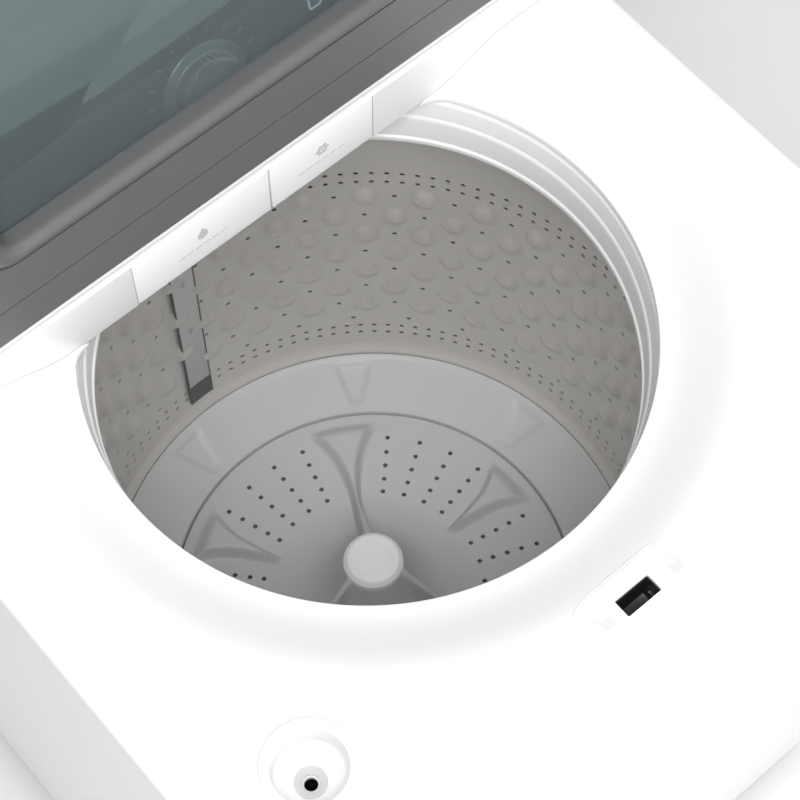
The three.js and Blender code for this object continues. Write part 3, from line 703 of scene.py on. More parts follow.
def basket_wall_tree(order):
    """Rows of tiles, wrapped round the basket and joined along their edges."""
    names = sorted({name for name, _ in order})
    inputs = {"Radius": "Float", "Column": "Float", "Foot height": "Float", "Finish": "Material"}
    inputs.update({name: "Object" for name in names})
    graph, given = geometry_tree("perforated basket wall", inputs)
    tiles = {name: graph.node("GeometryNodeObjectInfo", {"Object": given[name]}, out="Geometry")
             for name in names}
    joined = graph.tree.nodes.new("GeometryNodeJoinGeometry")
    height = 0
    for row, (name, tall) in enumerate(order):
        columns = 4 if name == "pinhole" else 16
        shift = 8 * (row % 2) if name == "dimple" else 0
        line = graph.node("GeometryNodeMeshLine", {
            "Count": 480 // columns, "Start Location": (shift, 0, height * MM),
            "Offset": (columns, 0, 0)})
        placed = graph.node("GeometryNodeInstanceOnPoints", {"Points": line, "Instance": tiles[name]})
        graph.tree.links.new(placed.socket, joined.inputs[0])
        height += tall
    real = graph.node("GeometryNodeRealizeInstances", {0: Wire(graph, joined.outputs[0])})
    spot = graph.node("GeometryNodeInputPosition")
    split = graph.tree.nodes.new("ShaderNodeSeparateXYZ")
    graph.tree.links.new(spot.socket, split.inputs[0])
    x, y, z = (Wire(graph, out) for out in split.outputs)
    angle = x * given["Column"]
    r = given["Radius"] - y
    wrapped = graph.node("ShaderNodeCombineXYZ", {
        0: r * angle.maths("COSINE", angle), 1: r * angle.maths("SINE", angle),
        2: z + given["Foot height"]})
    bent = graph.node("GeometryNodeSetPosition", {"Geometry": real, "Position": wrapped})
    merged = graph.node("GeometryNodeMergeByDistance", {"Geometry": bent, "Distance": 0.05 * MM})
    graph.node("NodeGroupOutput", {0: graph.node("GeometryNodeSetMaterial", {
        "Geometry": merged, "Material": given["Finish"]})})
    return graph


def basket_wall():
    low, high = span("basket_wall")
    sheet = 1.0
    tiles, order = wall_bands()
    graph = basket_wall_tree(order)
    wall = new_object("basket_wall_sheet", bpy.data.meshes.new("basket_wall_sheet"))
    values = {"Radius": (high.x - 1.2) * MM, "Column": radians(COLUMN),
              "Foot height": low.z * MM, "Finish": FINISHES["stainless"], **tiles}
    run_tree(wall, graph, values)
    for tile in tiles.values():
        bpy.data.objects.remove(tile)
    thicken(wall, sheet)
    return stand_in(wall, "basket_wall", crease=50)


def thicken(wall, sheet):
    """Gives an open skin its thickness, away from the axis."""
    work = bmesh.new()
    work.from_mesh(wall.data)
    bmesh.ops.recalc_face_normals(work, faces=work.faces)
    face = max(work.faces, key=lambda f: f.calc_center_median().z)
    middle = face.calc_center_median()
    if face.normal.dot(Vector((middle.x, middle.y, 0))) > 0:
        bmesh.ops.reverse_faces(work, faces=work.faces)
    work.to_mesh(wall.data)
    work.free()
    change = wall.modifiers.new("sheet", "SOLIDIFY")
    change.thickness, change.offset = sheet * MM, -1
    bake(wall)


def balance_ring():
    low, high = span("balance_ring")
    inner, outer, foot, top = 214.6, high.x, low.z, high.z
    profile = rounded([
        (inner, foot, 1.6), (inner, foot + 5.5, 1.4), (inner + 2.2, foot + 7, 0.6),
        (inner + 1.4, foot + 9, 0.5), (inner + 2.6, foot + 33, 6), (inner + 4.6, foot + 35, 1.2),
        (inner + 4.9, foot + 37.5, 0.8), (inner + 7.6, foot + 52, 4), (inner + 14, top, 5),
        (outer - 6, top, 3), (outer, top - 6, 3), (outer, foot + 6.4, 0),
        (265 - 1.2, foot + 6.4, 0), (265 - 1.2, foot, 0)], 5)
    ring = turned("balance_ring_moulding", profile, 240)
    return stand_in(ring, "balance_ring", RING_PLASTIC)


def curved_bar(name, r, degrees, z, edge=0.3):
    """A bar that follows the basket wall between two radii, two angles and two heights."""
    (r0, r1), (a0, a1), (z0, z1) = r, degrees, z
    section = rounded([(r0, z0, edge), (r1, z0, 0), (r1, z1, 0), (r0, z1, edge)], 2)
    loops = []
    for a in steps_between(radians(a0), radians(a1), 12):
        loops.append([on_axis(radius, height, a) for radius, height in section])
    return stacked(name, loops)


def load_guide():
    """The strip that shows the load: pale ribbon, dark edges, dark foot and level marks."""
    low, high = span("load_guide_strip")
    r, z, middle, half = (261.3, 263.6), (low.z, high.z), 91, 3
    between = (middle - half + 0.25, middle + half - 0.25)
    stand_in(curved_bar("load_guide_ribbon", r, between, (z[0] + 34, z[1])), "load_guide_strip", PALE_RIBBON)
    dark = [curved_bar("load_guide_edge_right", (261, r[1]), (middle - half, middle - half + 0.28), z),
            curved_bar("load_guide_edge_left", (261, r[1]), (middle + half - 0.28, middle + half), z),
            curved_bar("load_guide_foot", r, between, (z[0], z[0] + 33.6))]
    for piece in dark:
        fit(piece, "basket", "black_plastic", finish=FINISHES["dark_plastic"])
    for i, level in enumerate((z[1] - 22, z[1] - 112, z[1] - 202, z[1] - 292)):
        for j, reach in enumerate((0.7, 0.5, 0.3)):
            mark = curved_bar(f"load_mark_{i}_{j}", (261.1, 261.4), (middle - reach, middle + reach),
                              (level - j * 4, level - j * 4 + 1.5), 0)
            fit(mark, "basket", "dark_plastic", finish=INK)


# ---- Top deck ----
MOUTH_RADIUS = 222
MOUTH_FILLET = (164.1, 103.5, 28)  # corner between the round mouth and the drawer fronts
MOUTH_EDGE = 890  # height of the mouth
CHORD = 131.5  # distance of the drawer fronts from the axis
BOWL_RADIUS = 288
BLEACH_CUP = (-255, -240)


def mouth_reach(angle):
    """Distance from the axis to the mouth's edge."""
    x, y = abs(cos(angle)), sin(angle)
    start, end = radians(32.2), radians(38.7)
    lean = math.atan2(y, x)
    if lean <= start:
        return MOUTH_RADIUS
    if lean >= end:
        return CHORD / y
    cx, cy, radius = MOUTH_FILLET
    along_ray = x * cx + y * cy
    return along_ray + math.sqrt(max(radius ** 2 - (cx ** 2 + cy ** 2 - along_ray ** 2), 0))


def square_reach(angle, half, corner):
    """Distance from the axis to a rounded square."""
    x, y = abs(cos(angle)), abs(sin(angle))
    reach = half / max(x, y)
    flat = half - corner
    if min(x, y) * reach <= flat:
        return reach
    toward = (x + y) * flat
    return toward + math.sqrt(max(corner ** 2 - 2 * flat ** 2 + toward ** 2, 0))


def top_deck():
    low, high = span("top_deck")
    half, foot, top, sheet = high.x, low.z, high.z, 2.5
    edge = MOUTH_EDGE
    inner_rows = [(0, edge - 5), (0, edge - 1.4), (0.5, edge - 0.4), (1.6, edge)]

    def bowl(share):
        return edge + (top - edge) * (0.32 * share + 0.68 * rise(share, 0.05, 0.95))

    bowl_rows = [(share, bowl(share)) for share in steps_between(0, 1, 22)[1:]]
    edge_rows = [(6, top), (3.2, top - 0.45), (1.2, top - 1.8), (0.3, top - 3.6), (0, top - 6), (0, foot),
                 (sheet, foot), (sheet, top - 6), (5, top - 3.2)]
    under_rows = [(share, bowl(share) - sheet) for share in steps_between(1, 0, 8)[:-1]]
    closer = (-3.5, -3, -2.2, -1.8, -0.6, 0.6, 1.8, 2.2, 3)  # degrees round each corner
    angles = set(steps_between(0, 360, 288)[:-1] + [q + d for q in (45, 135, 225, 315) for d in closer])
    loops = []
    for a in (radians(angle) for angle in sorted(angles)):
        inner, outer = mouth_reach(a), square_reach(a, half, 20)
        brink = max(inner + 30, BOWL_RADIUS)
        rows = [(inner + r, z) for r, z in inner_rows]
        rows += [(inner + 1.6 + (brink - inner - 1.6) * share, z) for share, z in bowl_rows]
        rows += [(brink + (outer - 6 - brink) * share, top) for share in (0.33, 0.66)]
        rows += [(outer - r, z) for r, z in edge_rows]
        rows += [(inner + sheet + 1.6 + (brink - inner - sheet - 1.6) * share, z) for share, z in under_rows]
        rows += [(inner + sheet, edge - 3.4), (inner + sheet, edge - 5)]
        loops.append([on_axis(r, z, a) for r, z in rows])
    deck = banded("top_deck_shell", loops)
    carve(deck,
          pillow("rear cut", rectangle((-304, 304), (CHORD - 0.3, 326), 2), (860, 930)),
          pillow("slot cut", rectangle((-16, 16), (-303, -288), 1.2), (900, 930)),
          pillow("cup cut", disc(*BLEACH_CUP, 30, 48), (900, 930)))
    return stand_in(deck, "top_deck", crease=40)


def bleach_cup():
    low, high = span("bleach_cup")
    z0, z1 = low.z, high.z
    profile = rounded([(5, z0, 0), (8, z0, 1), (29.6, z0 + 16, 6), (29.6, z1 - 1.7, 0), (35, z1 - 1.7, 0),
                       (35, z1, 1.4), (27.5, z1, 2.2), (27.2, z0 + 19, 7), (5, z0 + 4, 1.5)], 5)
    cup = turned("bleach_cup_moulding", profile, 72, centre=BLEACH_CUP)
    stand_in(cup, "bleach_cup")
    ring = turned("bleach_cup_grate", rounded([(6, z0 + 4.3, 0), (12, z0 + 8.2, 0), (12, z0 + 9.8, 0.6),
                                               (6, z0 + 6.2, 0.6)]), 48, centre=BLEACH_CUP)
    return fit(ring, "cabinet", "grey_plastic")


# ---- Placing pieces on the lid and on the console's face ----
def shift(x, y, z):
    return Matrix.Translation(Vector((x, y, z)) * MM)


def spin(angle, axis):
    """A turn by an angle in degrees about X, Y or Z."""
    return Matrix.Rotation(radians(angle), 4, axis)


def moved(piece, matrix):
    piece.data.transform(matrix)
    return piece


hinge_low, hinge_high = span("hinge_pin_left")
HINGE = (hinge_low + hinge_high) / 2
LID_OPEN = 94  # degrees
FACE_LEAN = 17.34  # degrees that the console's face leans back
UPRIGHT = spin(90, "X")
ON_LID = shift(0, HINGE.y, HINGE.z) @ spin(-LID_OPEN, "X")
OUT_OF_FACE = shift(0, 184, 947.3) @ spin(-FACE_LEAN, "X") @ UPRIGHT  # x across, y up the face, z out


def bar(a, b, width):
    """Outline of a round-ended bar between two points."""
    a, b = Vector(a), Vector(b)
    ahead = (b - a).normalized() * width / 2
    aside = Vector((-ahead.y, ahead.x))
    return [end + sign * (ahead * cos(t) + aside * sin(t)) for end, sign in ((b, 1), (a, -1))
            for t in steps_between(-pi / 2, pi / 2, 6)]


def emblem(name, outlines, matrix, body, finish=INK, slot="dark_plastic"):
    """Thin raised marks on a face, as one piece."""
    first, *rest = (pillow(name, outline, (-0.15, 0.25), 0.08, 1) for outline in outlines)
    merge(first, rest)
    return fit(moved(first, matrix), body, slot, finish=finish)


def merge(piece, others):
    """Adds other pieces' meshes to a piece as they are."""
    work = bmesh.new()
    work.from_mesh(piece.data)
    for other in others:
        work.from_mesh(other.data)
        bpy.data.objects.remove(other)
    work.to_mesh(piece.data)
    work.free()
    return piece


# ---- Dispenser block and drawers ----
def dispenser():
    softened(1.0, "dispenser_housing")
    softened(0.5, "drawer_bay")
    softened(0.7, "detergent_drawer", "softener_drawer", segments=3)
    drop = [(0, 9), *arc(0, 0, 5, 2.7, 6.72, 18)]
    flower = [disc(x, y, 2.2, 16) for x, y in disc(0, 0, 4.4, 6)] + [disc(0, 0, 1.6, 16)]
    for node, marks in (("detergent_drawer", [drop]), ("softener_drawer", flower)):
        low, high = span(node)
        middle = shift((low.x + high.x) / 2, low.y, 923) @ UPRIGHT
        lines = [bar((-24 + 8 * i, -13), (-18.5 + 8 * i, -13), 1.6) for i in range(6)]
        emblem(node + "_emblem", marks + lines, middle, node, PALE_INK, "grey_plastic")


# ---- Lid ----
def lid():
    softened(1.2, "lid_frame")
    softened(0.6, "lid_strike")
    lid_liner()
    pane = pillow("lid_glass_pane", rectangle((-222.6, 222.6), (-407.6, -77.4), 8, 6), (3.4, 8.6), 0.8)
    stand_in(moved(pane, ON_LID), "lid_glass")
    profile = rounded([(0, 321.9, 0), (5, 321.9, 0.8), (5, 338.4, 0), (9, 338.4, 0.5), (8, 342, 1.4),
                       (0, 342, 0)])
    for turn, name in ((-90, "hinge_pin_left"), (90, "hinge_pin_right")):
        pin = turned(name + "_turned", profile, 32)
        stand_in(moved(pin, shift(0, HINGE.y, HINGE.z) @ spin(turn, "Y")), name)


def lid_liner():
    """The dark liner: a flat field, a seam and a rounded ridge round the glass."""
    outer = ((-321.5, 321.5), (-466.7, 4.7))
    seam = ((-224, 224), (-409, -72))
    window = ((-205, 205), (-390, -90))

    def loop(box, inset, radius, z):
        (x0, x1), (y0, y1) = box
        outline = rectangle((x0 + inset, x1 - inset), (y0 + inset, y1 - inset), radius, 8)
        return [(x, y, z) for x, y in outline]

    loops = [loop(outer, 0, 4, 3), loop(outer, 0, 4, -10.8), loop(outer, 1.2, 3, -12),
             loop(seam, 0, 26, -12), loop(seam, 0.4, 26, -9), loop(seam, 2.4, 24, -9),
             loop(seam, 2.8, 24, -12)]
    ridge = [(0.06, -12.9), (0.2, -14.6), (0.36, -15.6), (0.52, -15.8), (0.68, -15.3), (0.82, -13.8),
             (0.92, -12), (0.98, -9.5)]
    for share, z in ridge:
        box = tuple((a + (c - a) * share, b + (d - b) * share)
                    for (a, b), (c, d) in zip(((-221, 221), (-406, -75)), window))
        loops.append(loop(box, 0, 23 - 8 * share, z))
    loops += [loop(window, 0, 14, -6), loop(window, 0, 14, 3)]
    liner = moved(banded("lid_inner_liner", loops), ON_LID)
    groove = pillow("liner groove", rectangle((-330, 330), (-32, -30.5), 0.2), (-20, -10.6), 0)
    stand_in(carve(liner, moved(groove, ON_LID)), "lid_inner_frame")


# ---- Console ----
KNOB_UP = 72
BUTTONS = {"power_button": (-245, 14), "start_button": (245, 17)}
BARS = {"temperature_button": 92, "spin_button": 158}


def console():
    softened(1.6, "console_shell", segments=3)
    softened(0.35, "console_fascia")
    for name, (x, radius) in BUTTONS.items():
        profile = rounded([(0, -9, 0), (radius, -9, 0), (radius, 4, 1.4), (radius - 3, 3.2, 2), (0, 3, 0)], 5)
        button = moved(turned(name + "_cap", profile, 64), OUT_OF_FACE @ shift(x, KNOB_UP, 0))
        stand_in(button, name)
    for name, x in BARS.items():
        cap = pillow(name + "_cap", rectangle((-20, 20), (-6, 6), 2.4, 5), (-9, 3.5), 1.2, 4)
        stand_in(moved(cap, OUT_OF_FACE @ shift(x, 40, 0)), name)
    knob()
    gap, back = pi / 2 - 0.6, pi / 2 - 5.68
    power = [arc(0, 0, 6, gap, back, 24) + arc(0, 0, 4.7, back, gap, 24), bar((0, 2), (0, 6.5), 1.3)]
    play = [[(-3.5, -5), (5.5, 0), (-3.5, 5)], bar((8.5, -4.6), (8.5, 4.6), 1.8)]
    emblem("power_emblem", power, OUT_OF_FACE @ shift(-245, KNOB_UP, 3.0), "power_button")
    emblem("start_emblem", play, OUT_OF_FACE @ shift(243, KNOB_UP, 3.0), "start_button")
    for name, x in BARS.items():
        marks = [bar((-9 + 6 * j, -2), (-9 + 6 * j, -2 + 1.5 * (j + 1)), 1.6) for j in range(4)]
        emblem(name + "_emblem", marks, OUT_OF_FACE @ shift(x, 39.6, 3.5), name)
    inner, outer = (arc(0, 0, r, pi / 2 + 2.4, pi / 2 - 2.4, 14) for r in (44, 49))
    emblem("cycle_ticks", [bar(a, b, 1.2) for a, b in zip(inner, outer)],
           OUT_OF_FACE @ shift(0, KNOB_UP, 0.5), "cabinet", FINISHES["pale_plastic"], "pale_plastic")
    display()


def knob():
    """The cycle knob: a chromed skirt, a fluted grip and a pointer line."""
    profile = rounded([(0, -12, 0), (5, -12, 0), (5, 1.5, 0), (37, 1.5, 0.6), (37, 5, 1.6), (29, 8, 1.5),
                       (27, 22, 2.5), (24, 24, 0), (22, 23.2, 0.8), (0, 22.6, 0)], 5)

    def fluted(r, z, angle):
        share = rise(z, 8, 11) * (1 - rise(z, 20, 23)) * rise(r, 24, 26)
        return on_axis(r - 0.55 * share * (1 + cos(36 * angle)), z, angle)

    grip = turned("cycle_knob_grip", profile, 288, fluted)
    stand_in(moved(grip, OUT_OF_FACE @ shift(0, KNOB_UP, 0)), "cycle_knob")
    emblem("knob_pointer", [bar((0, 12), (0, 20.5), 2)], OUT_OF_FACE @ shift(0, KNOB_UP, 22.9), "cycle_knob")


def display():
    """A dark window with three lit seven-segment digits."""
    glass = pillow("display_window_pane", rectangle((60.4, 189.6), (60.4, 101.6), 1.5), (-2.6, 0), 0.5)
    stand_in(moved(glass, OUT_OF_FACE), "display_window")
    strokes = {"a": ((-4, 9), (4, 9)), "b": ((5, 8), (5, 1)), "c": ((5, -1), (5, -8)),
               "d": ((-4, -9), (4, -9)), "e": ((-5, -1), (-5, -8)), "f": ((-5, 8), (-5, 1)),
               "g": ((-4, 0), (4, 0))}
    lit = {104: "abcdef", 128: "bcfg", 146: "acdfg"}
    segments = [bar((a[0] + x, a[1] + 81), (b[0] + x, b[1] + 81), 1.6)
                for x, letters in lit.items() for a, b in (strokes[k] for k in letters)]
    segments += [disc(116, 85, 1, 12), disc(116, 77, 1, 12)]
    emblem("display_digits", segments, OUT_OF_FACE, "cabinet", GLOW, "pale_plastic")
    softened(0.2, "control_board")
    places = ((-120, 70, 12, 12), (-60, 90, 8, 5), (-20, 45, 9, 6), (130, 40, 14, 5), (150, 96, 6, 10))
    chips = [pillow(f"chip_{i}", rectangle((x - w, x + w), (y - h, y + h), 0.6), (-15.9, -12.4), 0.3)
             for i, (x, y, w, h) in enumerate(places)]
    fit(moved(merge(chips[0], chips[1:]), OUT_OF_FACE), "cabinet", "black_plastic")


# ---- Cabinet ----
ROD = 285  # how far the suspension rods stand from the axis along X and Y


def screw(radius=4.2, height=2.0):
    """A pan head with a cross recess."""
    head = turned("screw head", rounded([(0, -1.5, 0), (radius, -1.5, 0), (radius, 0.5, 0.4),
                                         (radius * 0.7, height, 1.6), (0, height, 0)], 3), 20)
    arms = [pillow("recess", rectangle(x, y, 0.1, 1), (height - 0.9, height + 1), 0, 1)
            for x, y in (((-2.2, 2.2), (-0.5, 0.5)), ((-0.5, 0.5), (-2.2, 2.2)))]
    return carve(head, *arms)


def screws(name, points, body, lean=(0, 0, 0), size=1.0):
    return fit(copies(name, screw(), points, FINISHES["zinc"], lean, size), body, "zinc")


def cabinet():
    low, high = span("cabinet_wrapper")
    half, sheet = high.x, 1.5
    inner, flange = half - sheet, half - 21.5
    plan = rounded([(-flange, half, 0), (-half, half, 18), (-half, -half, 18), (half, -half, 18),
                    (half, half, 18), (flange, half, 0), (flange, inner, 0), (inner, inner, 16.5),
                    (inner, -inner, 16.5), (-inner, -inner, 16.5), (-inner, inner, 16.5),
                    (-flange, inner, 0)], 10)
    wrapper = stacked("cabinet_wrapper_sheet", [[(x, y, z) for x, y in plan] for z in (low.z, high.z)])
    gussets = []
    rear, near = 338.2, half - 0.8
    for sx, sy in CORNERS.values():
        reach, cut = (rear, 10) if sy > 0 else (half - 9, 0)
        shape = [(near, half - 150), (near, reach - 12 + cut), (reach - 2 + cut / 2, reach - 2 + cut / 5),
                 (reach - 12 + cut, near - cut / 2), (half - 150, near - cut / 2)]
        shape = [(x * sx, min(y, rear) * sy if sy > 0 else y * sy) for x, y in shape]
        plate = pillow("gusset", shape, (850, 853), 0)
        hole = pillow("rod hole", disc(sx * ROD, sy * ROD, 8), (840, 860), 0)
        gussets.append(carve(plate, hole))
    carve(wrapper, *gussets, operation="UNION")
    stand_in(wrapper, "cabinet_wrapper", crease=25)
    softened(0.5, "base_frame")


def rear_panel():
    """The back sheet, stiffened by two fields of pressed beads, with its screws."""
    low, high = span("rear_panel")
    face = high.y
    outline = rectangle((low.x, high.x), (low.z, high.z), 2)
    panel = pillow("rear_panel_sheet", outline, (-high.y, -low.y), 0)
    ports = [(205, 825, 14.5), (255, 825, 14.5), (-230, 800, 17.5), (-290, 775, 11.5)]
    carve(panel, *(pillow("port", disc(*port), (-360, -300), 0) for port in ports))
    moved(panel, UPRIGHT)
    bead = moved(pillow("bead", bar((0, -90), (0, 90), 9), (-0.8, 1.0), 0.8, 3), spin(-90, "X"))
    points = [(x, face, z) for z in (230, 480) for x in range(-270, 271, 45)]
    carve(panel, copies("rear beads", bead, points, FINISHES["zinc"]), operation="UNION")
    stand_in(panel, "rear_panel", crease=30)
    edge = [(x, face, z) for x in (-315, 315) for z in (90, 280, 470, 660, 862)]
    edge += [(x, face, z) for z in (76, 868) for x in (-210, -70, 70, 210)]
    backwards = (radians(-90), 0, 0)
    screws("rear_panel_screws", edge, "cabinet", backwards, 0.8)
    console = [(x, 342.2, z) for x in (-325, 325) for z in (965, 1072)]
    screws("console_screws", console, "cabinet", backwards, 0.4)
    softened(0.5, "inlet_valve", "drain_outlet", "cord_gland")


def feet():
    profile = rounded([(0, 0, 0), (21, 0, 1.5), (23, 3, 1.5), (23, 8, 2), (12, 13, 2), (12, 27.7, 0.6),
                       (6, 27.7, 0), (6, 56, 1), (0, 56, 0)], 4)
    for corner, (sx, sy) in CORNERS.items():
        stand_in(turned(f"foot_{corner}_pad", profile, 48, centre=(sx * 300, sy * 300)), f"foot_{corner}")


# ---- Suspension ----
def coil(name, centre, radius, wire, low, high, turns):
    """A helical spring with its end turns laid flat."""
    loops, count = [], turns * 24
    travel = high - low - 2 * wire
    for i in range(count + 1):
        share = i / count
        a = 2 * pi * turns * share
        climb = rise(share * turns, 0.6, 1.4) + 1 - rise((1 - share) * turns, 0.6, 1.4)
        z = low + wire + travel * min(max((share - 1 / turns) / (1 - 2 / turns), 0), 1) + 0.02 * climb
        out = Vector((cos(a), sin(a), 0))
        middle = Vector((*centre, z)) + out * radius
        loops.append([middle + (out * cos(t) + Vector((0, 0, 1)) * sin(t)) * wire
                      for t in steps_between(0, 2 * pi, 8)[:-1]])
    return stacked(name, loops)


def suspension():
    profile = rounded([(0, 198, 0), (17, 198, 1.5), (17, 206, 1), (4, 206, 0), (4, 853.3, 0),
                       (11, 853.3, 1), (9, 862, 2), (0, 866, 0)], 4)
    for corner, (sx, sy) in CORNERS.items():
        at = (sx * ROD, sy * ROD)
        spring = coil(f"suspension_coil_{corner}", at, 13, 1.8, 206.4, 324.9, 11)
        stand_in(spring, f"suspension_spring_{corner}")
        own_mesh(spring)
        rod = turned(f"suspension_rod_{corner}_turned", profile, 32, centre=at)
        stand_in(rod, f"suspension_rod_{corner}")


# ---- Outer tub and drive ----
def outer_tub():
    profile = rounded([(32, 292, 0), (284, 292, 10), (298, 310, 8), (298, 830, 1), (304, 830, 1),
                       (304, 838, 1), (294, 838, 1), (294, 312, 8), (282, 298, 8), (32, 298, 0)], 5)

    def ribbed(r, z, angle):
        """Upright ribs outside the lower half."""
        rib = max(0, cos(24 * angle)) ** 24 * rise(z, 300, 312) * (1 - rise(z, 560, 640))
        return on_axis(r + (3.5 * rib if r > 297 and z < 829 else 0), z, angle)

    low_wall = [(298, z) for z in steps_between(330, 640, 8)]
    at = max(i for i, (r, z) in enumerate(profile) if r > 297.9 and z < 600)
    tub = turned("outer_tub_moulding", profile[:at + 1] + low_wall + profile[at + 1:], 240, ribbed)
    ears = []
    for sx, sy in CORNERS.values():
        lug = pillow("ear", rectangle((295, 421.6), (-24, 24), 10), (325.3, 337), 1)
        moved(lug, Matrix.Rotation(math.atan2(sy, sx), 4, "Z"))
        hole = pillow("ear hole", disc(sx * ROD, sy * ROD, 7), (300, 360), 0)
        ears.append(carve(lug, hole))
    carve(tub, *ears, operation="UNION")
    stand_in(tub, "outer_tub")
    ring = rounded([(272, 844, 1), (299, 844, 0), (299, 838.3, 0), (304, 838.3, 0.5), (304, 850, 1.5),
                    (272, 850, 1.5)], 4)
    stand_in(turned("tub_ring_moulding", ring, 180), "tub_ring")
    screws("tub_ring_screws", [(x, y, 850) for x, y in disc(0, 0, 290, 12)], "tub")


MOTOR_X = 175


def drive():
    seal = rounded([(24.4, 293, 0.8), (31.6, 293, 0.8), (31.6, 303, 1.2), (28, 300, 1), (24.4, 303, 1)], 3)
    stand_in(turned("tub_seal_lip", seal, 64), "tub_seal")
    case = rounded([(8.5, 205, 0), (58, 205, 4), (78, 228, 6), (78, 291.7, 1), (24.6, 291.7, 0),
                    (24.6, 240, 0), (8.5, 240, 0)], 5)

    def finned(r, z, angle):
        outside = rise(r, 45, 60)
        fin = max(0, cos(16 * angle)) ** 8 * outside * rise(z, 200, 225) * (1 - rise(z, 284, 291))
        return on_axis(r - 3 * (1 - fin) * (outside if z < 290 else 0), z, angle)

    stand_in(turned("gearcase_casting", case, 192, finned), "gearcase")
    body = rounded([(0, 185, 0), (50, 185, 3), (62, 192, 4), (62, 284, 1), (74, 284, 1), (74, 291.7, 1),
                    (0, 291.7, 0)], 4)
    housing = turned("motor_housing", body, 96, centre=(MOTOR_X, 0))
    vents = [moved(pillow("vent", bar((0, -22), (0, 22), 5), (-8, 8), 0),
                   shift(MOTOR_X, 0, 238) @ spin(30 * i, "Z") @ shift(0, -62, 0) @ UPRIGHT)
             for i in range(12)]
    shaft_hole = pillow("shaft hole", disc(MOTOR_X, 0, 7.6), (180, 206), 0)
    stand_in(carve(housing, merge(vents[0], vents[1:]), shaft_hole), "motor")
    pulleys()
    clutch = rounded([(9, 178, 0.6), (30, 178, 1.5), (30, 188, 1.5), (9, 188, 0.6)], 3)
    stand_in(turned("clutch_ring_moulding", clutch, 64), "clutch_ring")


def pulleys():
    """The two grooved pulleys and the ribbed belt between them."""
    grooves = [(90.5 if i % 2 else 92, z) for i, z in enumerate(steps_between(153, 167, 14))]
    rim = [(r, z, 0) for r, z in grooves]
    wheel = rounded([(0, 148, 0), (20, 148, 1), (20, 157, 0), (84, 157, 0), (84, 150, 0), (92, 150, 0), *rim,
                     (92, 170, 0), (84, 170, 0), (84, 162, 0), (20, 162, 0), (20, 172, 1), (8, 172, 0),
                     (8, 235, 1), (0, 235, 0)], 3)
    big = turned("drive_pulley_wheel", wheel, 120)
    holes = [pillow("lightening hole", disc(x, y, 17), (140, 180), 0) for x, y in disc(0, 0, 54, 6)]
    stand_in(carve(big, *holes), "drive_pulley")
    small = [(0, 148), (24, 148)] + [(r - 68, z) for r, z in grooves]
    small += [(24, 172), (7, 172), (7, 204), (0, 204)]
    stand_in(turned("motor_pulley_wheel", small, 64, centre=(MOTOR_X, 0)), "motor_pulley")
    wrap = math.acos((92 - 24) / MOTOR_X)

    def run(extra):
        return (arc(0, 0, 92 + extra, wrap, 2 * pi - wrap, 64)
                + arc(MOTOR_X, 0, 24 + extra, -wrap, wrap, 32))

    loops = [[(x, y, z) for x, y in run(extra)] for extra, z in
             [(1.2 + 1.3 * (i % 2), z) for i, z in enumerate(steps_between(152.6, 167.4, 14))]
             + [(3, 168), (5.8, 168), (6.2, 167.5), (6.2, 152.5), (5.8, 152), (3, 152)]]
    stand_in(banded("drive_belt_ribbed", loops), "drive_belt")


# ---- Lid lock ----
def lid_lock():
    softened(0.6, "lid_lock_housing")
    softened(0.5, "lid_lock_bolt")
    deck = shift(0, -295.5, 914)
    shackle = [(4 * cos(a), 2 + 4.5 * sin(a)) for a in steps_between(0, pi, 12)]
    shackle += [(2.6 * cos(a), 2 + 3.1 * sin(a)) for a in steps_between(pi, 0, 12)]
    box = rectangle((-5.5, 5.5), (-6, 2), 1)
    for name, x, aside in (("lock_emblem", 36, 0), ("unlock_emblem", -30, -8)):
        marks = [box, [(u + aside, v) for u, v in shackle]]
        emblem(name, marks, deck @ shift(x, 0, 0), "cabinet", SOFT_INK, "grey_plastic")
    rows = ((46, -0.3), (46, 0.2), (46.8, 0.42), (47.6, 0.2), (47.6, -0.3))  # width and height
    loops = [[(x, y, z) for x, y in bar((-30, 0), (30, 0), width)] for width, z in rows]
    fit(moved(banded("lock_surround", loops), deck), "cabinet", "white_enamel")


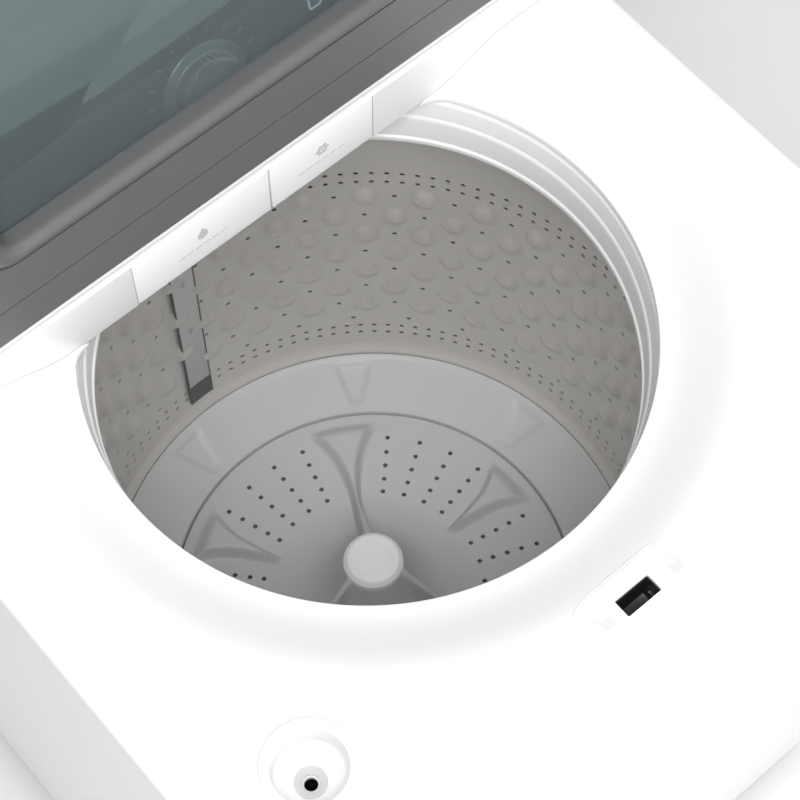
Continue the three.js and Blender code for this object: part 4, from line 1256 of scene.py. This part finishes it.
# ---- Floor, light and camera ----
def studio():
    floor = stacked("floor", [[(x * 6000, y * 6000, z) for x, y in ((-1, -1), (1, -1), (1, 1), (-1, 1))]
                              for z in (-20, -0.2)])
    paint = moulded((0.86, 0.86, 0.86), 0.6, grain=0.004, depth=0.00005)
    floor.data.materials.append(make_finish("pale_floor", paint))
    world = bpy.data.worlds.new("studio")
    bpy.context.scene.world = world
    world.use_nodes = True
    sky = world.node_tree.nodes["Background"].inputs
    sky["Color"].default_value, sky["Strength"].default_value = (1.0, 1.0, 1.0, 1), 0.53
    for name, place, size, power in (("key panel", (-0.62, -0.78, 2.9), 0.9, 34),
                                     ("fill panel", (1.6, -0.6, 3.0), 2.2, 10),
                                     ("front panel", (-0.5, -2.6, 1.7), 1.6, 34)):
        light = bpy.data.lights.new(name, "AREA")
        light.shape, light.size, light.energy = "DISK", size, power
        lamp = bpy.data.objects.new(name, light)
        bpy.context.scene.collection.objects.link(lamp)
        lamp.location = place
        aim = Vector((0, 0, 0.75)) - Vector(place)
        lamp.rotation_euler = aim.to_track_quat("-Z", "Y").to_euler()
    bpy.context.scene.view_settings.view_transform = "Standard"


def camera():
    heading, pitch, roll = (radians(a) for a in (40.79, 63.51, 0.14))
    right = Vector((cos(heading), -sin(heading), 0))
    ahead = Vector((sin(heading) * cos(pitch), cos(heading) * cos(pitch), -sin(pitch)))
    level = right * cos(roll) + right.cross(ahead) * sin(roll)
    data = bpy.data.cameras.new("camera")
    data.lens, data.sensor_width = 97.5, 36
    eye = bpy.data.objects.new("camera", data)
    bpy.context.scene.collection.objects.link(eye)
    axes = Matrix((level, level.cross(ahead), -ahead)).transposed().to_4x4()
    eye.matrix_world = Matrix.Translation((-0.4918, -0.6081, 2.3415)) @ axes
    bpy.context.scene.camera = eye


for make in (coat_frame_nodes, wash_plate, hub_cap, basket_base, basket_wall, balance_ring, load_guide,
             top_deck, bleach_cup, lid_lock, dispenser, lid, console, cabinet, rear_panel, feet,
             suspension, outer_tub, drive, studio, camera):
    make()
